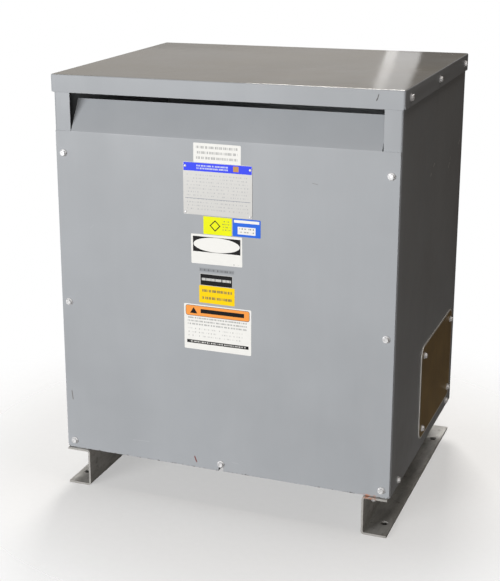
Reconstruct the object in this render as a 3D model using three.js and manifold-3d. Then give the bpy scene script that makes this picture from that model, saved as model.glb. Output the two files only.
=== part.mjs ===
// Ventilated dry-type transformer in a floor-mounted sheet-steel enclosure.
// Millimetres, +Z up, front towards -Y. Origin: floor level, centre of the footprint.

import * as THREE from 'three';
import { mergeVertices } from 'three/addons/utils/BufferGeometryUtils.js';
import Module from 'manifold-3d';

const wasm = await Module();
wasm.setup();

// ---------------------------------------------------------------- driving dimensions

const GAP = 0.3; // clearance between touching pieces
const SHEET = 1.9; // 14 gauge enclosure sheet
const THROUGH = 12; // length of a round cutter that opens a sheet
const PAST = 5; // how far other cutters run past the surfaces they open

// Whole enclosure
const HEIGHT = 940; // floor to lid top
const FOOT_HEIGHT = 88;
const LID = { width: 762, depth: 610, skirt: 38, radius: 3 };
const BODY_HALF_WIDTH = 377; // outer face of a side panel
const PANEL_FACE = 302; // outer face of the front and rear panels, from the centre
const SIDE_PANEL_EDGE = PANEL_FACE - SHEET - GAP; // outer face of the side panel returns
const BODY_BOTTOM = FOOT_HEIGHT + GAP;
const LID_UNDERSIDE = HEIGHT - SHEET;

// Side panels
const POST_INNER = 340; // the returns run from here to the side wall
const SIDE_BEND = 5;
const SIDE_FLANGE = { inner: 322, halfLength: 214 }; // inward flange along the bottom edge

// Front and rear panels
const PANEL = { halfWidth: 375, shoulder: 820, cornerClip: 6, bottomSlot: 5.5, lift: 0.2 };
const FLAP = { halfWidth: 338, topZ: 885, topDepth: 264, bend: 2.6 };
const FLAP_ROOT = { length: 40, notchDepth: 3, notchSide: 1 }; // where the flap joins the flat

// Access cover and its cable hole, on the right-hand side panel
const ACCESS = { y: 104, z: 227, width: 320, height: 222, radius: 25, thickness: 2.2 };
const ACCESS_SCREW_INSET = 24; // from the cover's edges
const CABLE_HOLE = { z: 245, width: 232, height: 102, radius: 12 }; // clears the core clamps' ends

// Feet: channels that open outwards and run front to back
const FOOT = { web: 318, tip: 373, thickness: 4.8, bend: 8, halfLength: 308 };
const ANCHOR_SLOTS = { x: 355, y: [-250, 225], width: 14, length: 17, radius: 6.99 };

// Base sills
const SILL = { thickness: 2.5, height: 40, flange: 40, tabLength: 76, bend: 5, notchHeight: 8 };

// Fasteners: hex washer-head screws and the bolts that hold the feet
const SCREW = { washer: 8, washerHeight: 1.7, hex: 6.2, headHeight: 6, shank: 3, length: 12 };
const SCREW_CLEARANCE = 3.7;
const FRONT_SCREW_X = 358;
const FRONT_SCREW_ROWS = [772, 438, 105];
const BOTTOM_ROW = FRONT_SCREW_ROWS[2];
const LID_SCREWS = { y: [-262, 0, 262], z: 921 };
const BASE_SCREW_Y = 238; // side panel to sill tab
const FOOT_BOLT = { x: 336, y: 275, shank: 4.8, hex: 9.2, head: 6, tail: 20 };
const FOOT_BOLT_CLEARANCE = 5.5;

// Core: three legs between two yokes
const STACK = 100; // lamination stack depth, front to back
const LEG = { width: 85, pitch: 220 };
const YOKE_HEIGHT = 85;
const WINDOW_HEIGHT = 370;
const CORE_BOTTOM = 110;
const CORE_TOP = CORE_BOTTOM + 2 * YOKE_HEIGHT + WINDOW_HEIGHT;
const CORE_HALF_WIDTH = LEG.pitch + LEG.width / 2;

// Windings: rounded rectangular rings round each leg
const LOW_WINDING = { clearance: 6, build: 18, height: 350, corner: 14 };
const HIGH_WINDING = { duct: 10, build: 22, height: 330, corner: 32 };
const MIN_WINDING_CORNER = 3;

// Core clamps: channels that open away from the core
const CLAMP = { height: 80, depth: 45, thickness: 5, bend: 7, bottomHalf: 366, topHalf: 262 };

// Isolation pads under the ends of the bottom clamps
const PAD = { x: 346, y: 75, width: 50, depth: 40, radius: 6 };

// Terminals
const BUS = { width: 40, thickness: 4, rise: 96, bend: 6, hole: 5.5, start: 2 };
const BUS_HOLE_SHARES = [0.55, 0.82]; // heights of the holes as shares of the rise
const BOARD = { halfWidth: 250, height: 66, thickness: 6, lift: 10 };
const NEUTRAL = { from: -240, to: 330, depth: 30, thickness: 4, boreInsets: [18, 52] };
const TAP_BLOCK = { width: 46, height: 190, thickness: 12, radius: 6 };
const GROUND_BAR = { y: 104, z: 372, length: 150, height: 18, thickness: 8, holes: 5, bore: 3.4 };

const NAMEPLATE = { x: [-80, 72], z: [662, 773], thickness: 0.8, radius: 2 };

const SIDES = [['left', -1], ['right', 1]];
const ENDS = [['front', -1], ['rear', 1]];

// ---------------------------------------------------------------- materials

const finish = (color, roughness, metalness) => () =>
  new THREE.MeshStandardMaterial({ color, roughness, metalness });

const greyPaint = finish(0xb1b5bb, 0.45, 0.1);
const lidPaint = finish(0xb4b6b9, 0.35, 0.1);
const footSteel = finish(0x6a6967, 0.6, 0.6);
const sillSteel = finish(0x84868a, 0.5, 0.5);
const coverSheet = finish(0x4a4030, 0.4, 0.5);
const zinc = finish(0xc9ccd0, 0.3, 0.9);
const rubber = finish(0x1b1b1c, 0.9, 0);
const coreSteel = finish(0x5a5d66, 0.5, 0.7);
const clampPaint = finish(0x2f3134, 0.5, 0.3);
const lowVarnish = finish(0x8a5a2c, 0.4, 0);
const highVarnish = finish(0x9c7440, 0.4, 0);
const busMetal = finish(0xd3d4d6, 0.35, 1);
const boardResin = finish(0x9a3b2a, 0.6, 0);
const plateMetal = finish(0xc3c6ca, 0.4, 0.9);

// ---------------------------------------------------------------- solids

function toSolid(geometry) {
  const bare = geometry.clone();
  bare.deleteAttribute('normal');
  bare.deleteAttribute('uv');
  const merged = mergeVertices(bare, 1e-4);
  const vertProperties = new Float32Array(merged.attributes.position.array);
  const triVerts = new Uint32Array(merged.index.array);
  return new wasm.Manifold(new wasm.Mesh({ numProp: 3, vertProperties, triVerts }));
}

function toGeometry(solid) {
  const mesh = solid.getMesh();
  const geometry = new THREE.BufferGeometry();
  const positions = new THREE.BufferAttribute(new Float32Array(mesh.vertProperties), 3);
  geometry.setAttribute('position', positions);
  geometry.setIndex(new THREE.BufferAttribute(new Uint32Array(mesh.triVerts), 1));
  return geometry;
}

const combine = (operation) => (first, ...others) =>
  toGeometry(others.reduce((solid, other) => solid[operation](toSolid(other)), toSolid(first)));

const join = combine('add');
const cut = combine('subtract');
const intersect = combine('intersect');

// ---------------------------------------------------------------- outlines

// A rectangle with round corners, centred on (u, v).
function roundedRectangle(width, height, radius, u = 0, v = 0) {
  const shape = new THREE.Shape();
  const right = u + width / 2 - radius;
  const left = u - width / 2 + radius;
  const top = v + height / 2 - radius;
  const bottom = v - height / 2 + radius;
  shape.absarc(right, bottom, radius, -Math.PI / 2, 0);
  shape.absarc(right, top, radius, 0, Math.PI / 2);
  shape.absarc(left, top, radius, Math.PI / 2, Math.PI);
  shape.absarc(left, bottom, radius, Math.PI, 1.5 * Math.PI);
  return shape;
}

// The section of a bent sheet. The path follows one face, the sheet lies to the left of it,
// and bendRadius is the radius on the outside of each bend.
function bentSheet(path, thickness, bendRadius, steps = 3) {
  const points = path.map(([u, v]) => new THREE.Vector2(u, v));
  const headings = points.slice(1).map((point, i) => point.clone().sub(points[i]).normalize());
  const leftOf = (heading) => new THREE.Vector2(-heading.y, heading.x);
  const face = (offset) => {
    const outline = [points[0].clone().addScaledVector(leftOf(headings[0]), offset)];
    for (let i = 1; i < headings.length; i += 1) {
      const [before, after] = [headings[i - 1], headings[i]];
      const turn = Math.atan2(before.cross(after), before.dot(after));
      const side = Math.sign(turn);
      const radius = side > 0 ? bendRadius : bendRadius - thickness;
      const start = points[i].clone().addScaledVector(before, -radius * Math.tan(Math.abs(turn) / 2));
      const centre = start.addScaledVector(leftOf(before), side * radius);
      for (let step = 0; step <= steps; step += 1) {
        const spoke = leftOf(before).multiplyScalar(-side * (radius - side * offset));
        spoke.rotateAround(new THREE.Vector2(), (turn * step) / steps);
        outline.push(centre.clone().add(spoke));
      }
    }
    const last = headings.length;
    outline.push(points[last].clone().addScaledVector(leftOf(headings[last - 1]), offset));
    return outline;
  };
  return new THREE.Shape([...face(0), ...face(thickness).reverse()]);
}

// The same path on the left-hand side of the object, still with the sheet to its left.
function onSide(path, side) {
  return side > 0 ? path : path.map(([u, v]) => [-u, v]).reverse();
}

// ---------------------------------------------------------------- extrusions along each axis

const AXES = {
  x: [[0, 1, 0], [0, 0, 1], [1, 0, 0]], // outline in (y, z)
  y: [[1, 0, 0], [0, 0, 1], [0, -1, 0]], // outline in (x, z)
  z: [[1, 0, 0], [0, 1, 0], [0, 0, 1]], // outline in (x, y)
};

function extrude(axis, shape, from, to, curveSegments = 3) {
  const geometry = new THREE.ExtrudeGeometry(shape, {
    depth: to - from,
    bevelEnabled: false,
    curveSegments,
  });
  const basis = AXES[axis].map((vector) => new THREE.Vector3(...vector));
  geometry.translate(0, 0, axis === 'y' ? -to : from);
  return geometry.applyMatrix4(new THREE.Matrix4().makeBasis(...basis));
}

// A box between two corners.
function block([x0, y0, z0], [x1, y1, z1]) {
  const geometry = new THREE.BoxGeometry(x1 - x0, y1 - y0, z1 - z0);
  return geometry.translate((x0 + x1) / 2, (y0 + y1) / 2, (z0 + z1) / 2);
}

// A round bar along an axis, centred on a point.
function bar(axis, radius, length, [x, y, z], segments = 12) {
  const geometry = new THREE.CylinderGeometry(radius, radius, length, segments);
  if (axis === 'x') geometry.rotateZ(Math.PI / 2);
  if (axis === 'z') geometry.rotateX(Math.PI / 2);
  return geometry.translate(x, y, z);
}

// ---------------------------------------------------------------- fasteners

// A round or hexagonal bar on the Z axis, between two heights.
function barBetween(radius, bottom, top, segments) {
  return bar('z', radius, top - bottom, [0, 0, (bottom + top) / 2], segments);
}

// Hex washer-head screw along +Z, with the underside of its head at the origin.
function screwGeometry() {
  const { washer, washerHeight, hex, headHeight, shank, length } = SCREW;
  const overlap = washerHeight / 2;
  return join(
    barBetween(washer, 0, washerHeight, 14),
    barBetween(hex, overlap, headHeight, 6),
    barBetween(shank, -length, overlap, 8),
  );
}

// Hex bolt along Z: its head bears on the sill and its threaded tail hangs below the foot's flange.
// The origin is at the underside of that flange.
function footBoltGeometry() {
  const { shank, hex, head, tail } = FOOT_BOLT;
  const clamped = FOOT.thickness + SILL.thickness + 3 * GAP;
  return join(
    barBetween(hex, clamped, clamped + head, 6),
    barBetween(shank, -tail, clamped + head / 2, 10),
  );
}

// ---------------------------------------------------------------- sheet-metal pieces

function footGeometry(side) {
  const { web, tip, thickness, bend, halfLength } = FOOT;
  const path = onSide([[tip, FOOT_HEIGHT], [web, FOOT_HEIGHT], [web, 0], [tip, 0]], side);
  const channel = extrude('y', bentSheet(path, thickness, bend), -halfLength, halfLength);
  const slots = ANCHOR_SLOTS.y.map((y) => {
    const { x, width, length, radius } = ANCHOR_SLOTS;
    const slot = roundedRectangle(width, length, radius, side * x, y);
    return extrude('z', slot, -PAST, thickness + PAST);
  });
  const boltHoles = ENDS.map(([, end]) =>
    bar('z', FOOT_BOLT_CLEARANCE, THROUGH, [side * FOOT_BOLT.x, end * FOOT_BOLT.y, FOOT_HEIGHT]));
  return cut(channel, ...slots, ...boltHoles);
}

function sillGeometry() {
  const { thickness, height, flange, tabLength, bend, notchHeight } = SILL;
  const halfWidth = BODY_HALF_WIDTH - SHEET - GAP;
  const face = -(SIDE_PANEL_EDGE - SHEET - GAP);
  const path = [
    [-halfWidth, face + tabLength],
    [-halfWidth, face],
    [halfWidth, face],
    [halfWidth, face + tabLength],
  ];
  const top = BODY_BOTTOM + height;
  const wall = extrude('z', bentSheet(path, thickness, bend), BODY_BOTTOM, top);
  const ledge = block(
    [-halfWidth + bend, face + thickness / 2, BODY_BOTTOM],
    [halfWidth - bend, face + flange, BODY_BOTTOM + thickness],
  );
  const notch = block(
    [-PANEL.bottomSlot, face - PAST, BODY_BOTTOM - PAST],
    [PANEL.bottomSlot, face + flange + PAST, BODY_BOTTOM + notchHeight],
  );
  const screwHoles = [-FRONT_SCREW_X, 0, FRONT_SCREW_X].map((x) =>
    bar('y', SCREW_CLEARANCE, THROUGH, [x, face, BOTTOM_ROW]));
  const sideHoles = SIDES.map(([, side]) =>
    bar('x', SCREW_CLEARANCE, THROUGH, [side * halfWidth, -BASE_SCREW_Y, BOTTOM_ROW]));
  const boltHoles = SIDES.map(([, side]) =>
    bar('z', FOOT_BOLT_CLEARANCE, THROUGH, [side * FOOT_BOLT.x, -FOOT_BOLT.y, BODY_BOTTOM]));
  return cut(join(wall, ledge), notch, ...screwHoles, ...sideHoles, ...boltHoles);
}

function sidePanelGeometry(side) {
  const top = LID_UNDERSIDE - GAP;
  const path = onSide([
    [POST_INNER, -SIDE_PANEL_EDGE],
    [BODY_HALF_WIDTH, -SIDE_PANEL_EDGE],
    [BODY_HALF_WIDTH, SIDE_PANEL_EDGE],
    [POST_INNER, SIDE_PANEL_EDGE],
  ], side);
  const wall = extrude('z', bentSheet(path, SHEET, SIDE_BEND), BODY_BOTTOM, top);
  const { inner, halfLength } = SIDE_FLANGE;
  const innerX = side * inner;
  const outerX = side * (BODY_HALF_WIDTH - SHEET / 2);
  const flange = block(
    [Math.min(innerX, outerX), -halfLength, BODY_BOTTOM],
    [Math.max(innerX, outerX), halfLength, BODY_BOTTOM + SHEET],
  );
  const openings = [];
  for (const [, end] of ENDS) {
    for (const z of FRONT_SCREW_ROWS) {
      const centre = [side * FRONT_SCREW_X, end * SIDE_PANEL_EDGE, z];
      openings.push(bar('y', SCREW_CLEARANCE, THROUGH, centre));
    }
    const baseScrew = [side * BODY_HALF_WIDTH, end * BASE_SCREW_Y, BOTTOM_ROW];
    openings.push(bar('x', SCREW_CLEARANCE, THROUGH, baseScrew));
  }
  // Slots open at the top edge let the lid lift with its screws in place.
  for (const y of LID_SCREWS.y) {
    const wallX = side * BODY_HALF_WIDTH;
    openings.push(bar('x', SCREW_CLEARANCE, THROUGH, [wallX, y, LID_SCREWS.z]));
    openings.push(block(
      [wallX - PAST, y - SCREW_CLEARANCE, LID_SCREWS.z],
      [wallX + PAST, y + SCREW_CLEARANCE, HEIGHT],
    ));
  }
  if (side > 0) {
    const { z: holeZ, width, height, radius } = CABLE_HOLE;
    const outline = roundedRectangle(width, height, radius, ACCESS.y, holeZ);
    openings.push(extrude('x', outline, BODY_HALF_WIDTH - PAST, BODY_HALF_WIDTH + PAST));
    for (const [y, z] of accessScrewPlaces()) {
      openings.push(bar('x', SCREW_CLEARANCE, THROUGH, [BODY_HALF_WIDTH, y, z]));
    }
  }
  return cut(join(wall, flange), ...openings);
}

// Front panel, in place. Its top turns inwards as a flap that sheds rain and lets air out.
function panelGeometry() {
  const { halfWidth, shoulder, cornerClip, bottomSlot, lift } = PANEL;
  const bottom = BODY_BOTTOM + lift;
  const outline = new THREE.Shape([
    new THREE.Vector2(-halfWidth + cornerClip, bottom),
    new THREE.Vector2(halfWidth - cornerClip, bottom),
    new THREE.Vector2(halfWidth, bottom + cornerClip),
    new THREE.Vector2(halfWidth, shoulder),
    new THREE.Vector2(-halfWidth, shoulder),
    new THREE.Vector2(-halfWidth, bottom + cornerClip),
  ]);
  const flat = extrude('y', outline, -PANEL_FACE, -PANEL_FACE + SHEET);
  const flapPath = [
    [-FLAP.topDepth, FLAP.topZ],
    [-PANEL_FACE, shoulder],
    [-PANEL_FACE, shoulder - FLAP_ROOT.length],
  ];
  const flapSection = bentSheet(flapPath, SHEET, FLAP.bend);
  const flap = extrude('x', flapSection, -FLAP.halfWidth, FLAP.halfWidth);
  const notchReach = FLAP.halfWidth + FLAP_ROOT.notchSide;
  const notch = block(
    [-notchReach, -PANEL_FACE - PAST, shoulder - FLAP_ROOT.notchDepth],
    [notchReach, -PANEL_FACE + PAST, shoulder + PAST],
  );
  const slot = block(
    [-bottomSlot, -PANEL_FACE - PAST, bottom - PAST],
    [bottomSlot, -PANEL_FACE + PAST, BOTTOM_ROW],
  );
  const holes = frontScrewPlaces().map(([x, z]) =>
    bar('y', SCREW_CLEARANCE, THROUGH, [x, -PANEL_FACE, z]));
  return cut(join(cut(flat, notch), flap), slot, ...holes);
}

// A block with round edges, standing on z = 0 and reaching below it, so only its top is round.
function roundTopped(width, depth, height, radius) {
  const below = 4 * radius;
  const tall = height + below;
  const middle = height / 2 - below / 2;
  return intersect(
    extrude('y', roundedRectangle(width, tall, radius, 0, middle), -depth, depth),
    extrude('x', roundedRectangle(depth, tall, radius, 0, middle), -width, width),
    extrude('z', roundedRectangle(width, depth, radius), 0, tall),
  );
}

function lidGeometry() {
  const { width, depth, skirt, radius } = LID;
  const wall = 2 * SHEET;
  const outside = roundTopped(width, depth, skirt, radius);
  const inside = roundTopped(width - wall, depth - wall, skirt + PAST, radius - SHEET);
  inside.translate(0, 0, -SHEET - PAST);
  const holes = [];
  for (const [, side] of SIDES) {
    for (const y of LID_SCREWS.y) {
      const z = LID_SCREWS.z - (HEIGHT - skirt);
      holes.push(bar('x', SCREW_CLEARANCE, THROUGH, [(side * width) / 2, y, z]));
    }
  }
  return cut(outside, inside, ...holes);
}

function accessCoverGeometry() {
  const { width, height, radius, thickness } = ACCESS;
  const outline = roundedRectangle(width, height, radius);
  const holes = accessScrewPlaces().map(([y, z]) =>
    bar('x', SCREW_CLEARANCE, THROUGH, [0, y - ACCESS.y, z - ACCESS.z]));
  return cut(extrude('x', outline, 0, thickness, 6), ...holes);
}

// Where the front panel's screws go, as (x, z).
function frontScrewPlaces() {
  const corners = FRONT_SCREW_ROWS.flatMap((z) => [[-FRONT_SCREW_X, z], [FRONT_SCREW_X, z]]);
  return [...corners, [0, BOTTOM_ROW]];
}

// Where the access cover's screws go, as (y, z).
function accessScrewPlaces() {
  const reachY = ACCESS.width / 2 - ACCESS_SCREW_INSET;
  const reachZ = ACCESS.height / 2 - ACCESS_SCREW_INSET;
  const corners = [[-1, 1], [1, 1], [-1, -1], [1, -1]];
  return corners.map(([y, z]) => [ACCESS.y + y * reachY, ACCESS.z + z * reachZ]);
}

// ---------------------------------------------------------------- core and coil pieces

// A channel along X whose web stands against the core and whose flanges point to -Y.
function clampGeometry(halfLength) {
  const { height, depth, thickness, bend } = CLAMP;
  const path = [[-depth, height], [0, height], [0, 0], [-depth, 0]].reverse();
  return extrude('x', bentSheet(path, thickness, bend), -halfLength, halfLength);
}

// A winding: a rounded rectangular ring standing on z = 0.
function windingGeometry(innerWidth, innerDepth, build, height, corner) {
  const outline = roundedRectangle(innerWidth + 2 * build, innerDepth + 2 * build, corner);
  const innerCorner = Math.max(corner - build, MIN_WINDING_CORNER);
  outline.holes.push(roundedRectangle(innerWidth, innerDepth, innerCorner));
  return extrude('z', outline, 0, height);
}

// A bus bar: forwards (-Y) from the winding at z = 0, then up the terminal board.
function busGeometry(reach) {
  const { width, thickness, rise, bend, hole } = BUS;
  const path = [[0, 0], [-reach, 0], [-reach, rise]].reverse();
  const strip = extrude('x', bentSheet(path, thickness, bend), -width / 2, width / 2);
  const holes = BUS_HOLE_SHARES.map((share) => bar('y', hole, THROUGH, [0, -reach, rise * share]));
  return cut(strip, ...holes);
}

function groundBarGeometry() {
  const { length, height, thickness, holes, bore } = GROUND_BAR;
  const body = block([-thickness, -length / 2, -height / 2], [0, length / 2, height / 2]);
  const spacing = length / holes;
  const bores = Array.from({ length: holes }, (_, i) => {
    const y = (i - (holes - 1) / 2) * spacing;
    return bar('x', bore, 3 * thickness, [0, y, 0]);
  });
  return cut(body, ...bores);
}

// ---------------------------------------------------------------- assembly

const transformer = new THREE.Group();

function add(parent, name, geometry, material, position = [0, 0, 0]) {
  const mesh = new THREE.Mesh(geometry, material());
  mesh.name = name;
  mesh.position.set(...position);
  parent.add(mesh);
  return mesh;
}

function subassembly() {
  const group = new THREE.Group();
  transformer.add(group);
  return group;
}

function addBase() {
  const base = subassembly();
  for (const [sideName, side] of SIDES) {
    add(base, `mounting_foot_${sideName}`, footGeometry(side), footSteel);
    for (const [endName, end] of ENDS) {
      const place = [side * FOOT_BOLT.x, end * FOOT_BOLT.y, FOOT_HEIGHT - FOOT.thickness - GAP];
      add(base, `foot_bolt_${endName}_${sideName}`, footBoltGeometry(), zinc, place);
    }
  }
  add(base, 'base_sill_front', sillGeometry(), sillSteel);
  add(base, 'base_sill_rear', sillGeometry(), sillSteel).rotation.z = Math.PI;
}

function addSidePanels() {
  const shell = subassembly();
  for (const [sideName, side] of SIDES) {
    add(shell, `side_panel_${sideName}`, sidePanelGeometry(side), greyPaint);
  }
  const { y, z } = GROUND_BAR;
  const innerWall = BODY_HALF_WIDTH - SHEET - GAP;
  add(shell, 'ground_bar', groundBarGeometry(), busMetal, [innerWall, y, z]);
}

function addCore() {
  const core = subassembly();
  const halfStack = STACK / 2;
  const yoke = block([-CORE_HALF_WIDTH, -halfStack, 0], [CORE_HALF_WIDTH, halfStack, YOKE_HEIGHT]);
  const leg = block([-LEG.width / 2, -halfStack, GAP], [LEG.width / 2, halfStack, WINDOW_HEIGHT - GAP]);
  add(core, 'core_yoke_bottom', yoke, coreSteel, [0, 0, CORE_BOTTOM]);
  add(core, 'core_yoke_top', yoke.clone(), coreSteel, [0, 0, CORE_TOP - YOKE_HEIGHT]);
  ['left', 'centre', 'right'].forEach((name, i) => {
    const place = [(i - 1) * LEG.pitch, 0, CORE_BOTTOM + YOKE_HEIGHT];
    add(core, `core_leg_${name}`, leg.clone(), coreSteel, place);
  });
}

function addWindings() {
  const coils = subassembly();
  const windowMiddle = CORE_BOTTOM + YOKE_HEIGHT + WINDOW_HEIGHT / 2;
  const lowWidth = LEG.width + 2 * LOW_WINDING.clearance;
  const lowDepth = STACK + 2 * LOW_WINDING.clearance;
  const outwards = 2 * (LOW_WINDING.build + HIGH_WINDING.duct);
  ['left', 'centre', 'right'].forEach((name, i) => {
    const x = (i - 1) * LEG.pitch;
    const low = LOW_WINDING;
    const lowRing = windingGeometry(lowWidth, lowDepth, low.build, low.height, low.corner);
    const lowPlace = [x, 0, windowMiddle - low.height / 2];
    add(coils, `low_voltage_winding_${name}`, lowRing, lowVarnish, lowPlace);
    const high = HIGH_WINDING;
    const highRing = windingGeometry(
      lowWidth + outwards, lowDepth + outwards, high.build, high.height, high.corner);
    const highPlace = [x, 0, windowMiddle - high.height / 2];
    add(coils, `high_voltage_winding_${name}`, highRing, highVarnish, highPlace);
  });
}

function addClamps() {
  const frame = subassembly();
  const webFace = STACK / 2 + GAP;
  const levels = [
    ['bottom', CLAMP.bottomHalf, CORE_BOTTOM],
    ['top', CLAMP.topHalf, CORE_TOP - CLAMP.height],
  ];
  for (const [levelName, halfLength, z] of levels) {
    for (const [endName, end] of ENDS) {
      const place = [0, end * webFace, z];
      const name = `core_clamp_${levelName}_${endName}`;
      const clamp = add(frame, name, clampGeometry(halfLength), clampPaint, place);
      clamp.rotation.z = end > 0 ? Math.PI : 0;
    }
  }
  const padBottom = BODY_BOTTOM + SHEET + GAP;
  const padTop = CORE_BOTTOM - GAP;
  for (const [sideName, side] of SIDES) {
    for (const [endName, end] of ENDS) {
      const outline = roundedRectangle(PAD.width, PAD.depth, PAD.radius);
      const pad = extrude('z', outline, 0, padTop - padBottom, 2);
      const place = [side * PAD.x, end * PAD.y, padBottom];
      add(frame, `isolation_pad_${endName}_${sideName}`, pad, rubber, place);
    }
  }
}

function addTerminals() {
  const terminals = subassembly();
  const boardBack = -(STACK / 2 + GAP + CLAMP.depth + GAP);
  const boardFront = boardBack - BOARD.thickness;
  const clampBottom = CORE_TOP - CLAMP.height;
  const boardBottom = clampBottom + BOARD.lift;
  const board = block(
    [-BOARD.halfWidth, boardFront, boardBottom],
    [BOARD.halfWidth, boardBack, boardBottom + BOARD.height],
  );
  add(terminals, 'terminal_board', board, boardResin);

  // Each phase bar leaves the top of its low-voltage winding and passes under the clamp.
  const windingTop = CORE_BOTTOM + YOKE_HEIGHT + (WINDOW_HEIGHT + LOW_WINDING.height) / 2;
  const startY = -(STACK / 2 + LOW_WINDING.clearance + BUS.start);
  const barFace = boardFront - GAP - BUS.thickness;
  ['left', 'centre', 'right'].forEach((name, i) => {
    const place = [(i - 1) * LEG.pitch, startY, windingTop + GAP];
    const bus = busGeometry(startY - barFace);
    add(terminals, `low_voltage_bus_${name}`, bus, busMetal, place);
  });

  const neutral = block([NEUTRAL.from, -NEUTRAL.depth, 0], [NEUTRAL.to, 0, NEUTRAL.thickness]);
  const neutralBores = NEUTRAL.boreInsets.map((inset) =>
    bar('z', BUS.hole, THROUGH, [NEUTRAL.to - inset, -NEUTRAL.depth / 2, 0]));
  const neutralPlace = [0, -(STACK / 2 + GAP + CLAMP.bend), CORE_TOP + GAP];
  add(terminals, 'neutral_bus', cut(neutral, ...neutralBores), busMetal, neutralPlace);

  // Tap blocks stand against the front of the high-voltage windings.
  const windingFace = STACK / 2 + LOW_WINDING.clearance + LOW_WINDING.build
    + HIGH_WINDING.duct + HIGH_WINDING.build;
  const tapMiddle = CORE_BOTTOM + YOKE_HEIGHT + WINDOW_HEIGHT / 2;
  ['left', 'centre', 'right'].forEach((name, i) => {
    const outline = roundedRectangle(TAP_BLOCK.width, TAP_BLOCK.height, TAP_BLOCK.radius);
    const tap = extrude('y', outline, -TAP_BLOCK.thickness, 0, 2);
    const place = [(i - 1) * LEG.pitch, -windingFace - GAP, tapMiddle];
    add(terminals, `high_voltage_tap_block_${name}`, tap, boardResin, place);
  });
}

// A screw along an axis, its head on the face and pointing outwards (side -1 or 1).
function addScrew(parent, name, axis, side, [x, y, z]) {
  const screw = add(parent, name, screwGeometry(), zinc, [x, y, z]);
  if (axis === 'x') screw.rotation.y = (side * Math.PI) / 2;
  if (axis === 'y') screw.rotation.x = (-side * Math.PI) / 2;
}

function addFrontCover() {
  const cover = subassembly();
  add(cover, 'front_panel', panelGeometry(), greyPaint);
  frontScrewPlaces().forEach(([x, z], i) => {
    addScrew(cover, `front_screw_${i + 1}`, 'y', -1, [x, -PANEL_FACE - GAP, z]);
  });
  const { x, z, thickness, radius } = NAMEPLATE;
  const outline = roundedRectangle(x[1] - x[0], z[1] - z[0], radius);
  const place = [(x[0] + x[1]) / 2, -PANEL_FACE - GAP, (z[0] + z[1]) / 2];
  add(cover, 'nameplate', extrude('y', outline, -thickness, 0, 2), plateMetal, place);
}

function addRearCover() {
  add(subassembly(), 'rear_panel', panelGeometry(), greyPaint).rotation.z = Math.PI;
}

function addTopCover() {
  const cover = subassembly();
  add(cover, 'top_cover', lidGeometry(), lidPaint, [0, 0, HEIGHT - LID.skirt]);
  for (const [sideName, side] of SIDES) {
    LID_SCREWS.y.forEach((y, i) => {
      const place = [side * (LID.width / 2 + GAP), y, LID_SCREWS.z];
      addScrew(cover, `lid_screw_${sideName}_${i + 1}`, 'x', side, place);
    });
  }
}

function addAccessCover() {
  const cover = subassembly();
  const face = BODY_HALF_WIDTH + GAP;
  add(cover, 'access_cover', accessCoverGeometry(), coverSheet, [face, ACCESS.y, ACCESS.z]);
  accessScrewPlaces().forEach(([y, z], i) => {
    const place = [face + ACCESS.thickness + GAP, y, z];
    addScrew(cover, `access_screw_${i + 1}`, 'x', 1, place);
  });
}

addBase();
addSidePanels();
addCore();
addWindings();
addClamps();
addTerminals();
addFrontCover();
addRearCover();
addTopCover();
addAccessCover();

export default transformer;
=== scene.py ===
import math
import random

import bmesh
import bpy
from mathutils import Matrix, Vector


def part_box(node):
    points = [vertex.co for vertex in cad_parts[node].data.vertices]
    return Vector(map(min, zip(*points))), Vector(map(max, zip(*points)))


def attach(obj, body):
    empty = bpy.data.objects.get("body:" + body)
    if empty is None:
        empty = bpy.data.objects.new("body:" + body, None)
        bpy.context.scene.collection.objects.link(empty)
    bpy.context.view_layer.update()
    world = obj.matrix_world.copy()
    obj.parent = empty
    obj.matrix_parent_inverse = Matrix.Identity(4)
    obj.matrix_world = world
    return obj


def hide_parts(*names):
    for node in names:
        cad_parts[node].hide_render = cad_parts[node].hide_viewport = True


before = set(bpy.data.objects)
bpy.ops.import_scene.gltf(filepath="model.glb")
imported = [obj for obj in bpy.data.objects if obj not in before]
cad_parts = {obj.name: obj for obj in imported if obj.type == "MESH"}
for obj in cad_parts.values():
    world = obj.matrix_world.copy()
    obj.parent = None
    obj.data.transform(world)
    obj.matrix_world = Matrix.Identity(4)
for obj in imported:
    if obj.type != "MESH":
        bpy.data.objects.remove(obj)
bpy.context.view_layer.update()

# A ventilated dry-type transformer: its enclosure, fasteners, labels, core and windings.
# Lengths are in metres, +Z up, front towards -Y, as in the frame.

MM = 0.001

# ------------------------------------------------------------------ places taken from the frame

LID_LOW, LID_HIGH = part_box("top_cover")
PANEL_LOW, PANEL_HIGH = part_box("front_panel")
SIDE_LOW, SIDE_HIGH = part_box("side_panel_right")
FOOT_LOW, FOOT_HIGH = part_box("mounting_foot_right")
SILL_LOW, SILL_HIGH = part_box("base_sill_front")
PLATE_LOW, PLATE_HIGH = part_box("nameplate")
COVER_LOW, COVER_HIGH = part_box("access_cover")

FACE = PANEL_LOW.y  # outer face of the front panel

# ------------------------------------------------------------------ sizes of the sheet work

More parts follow.
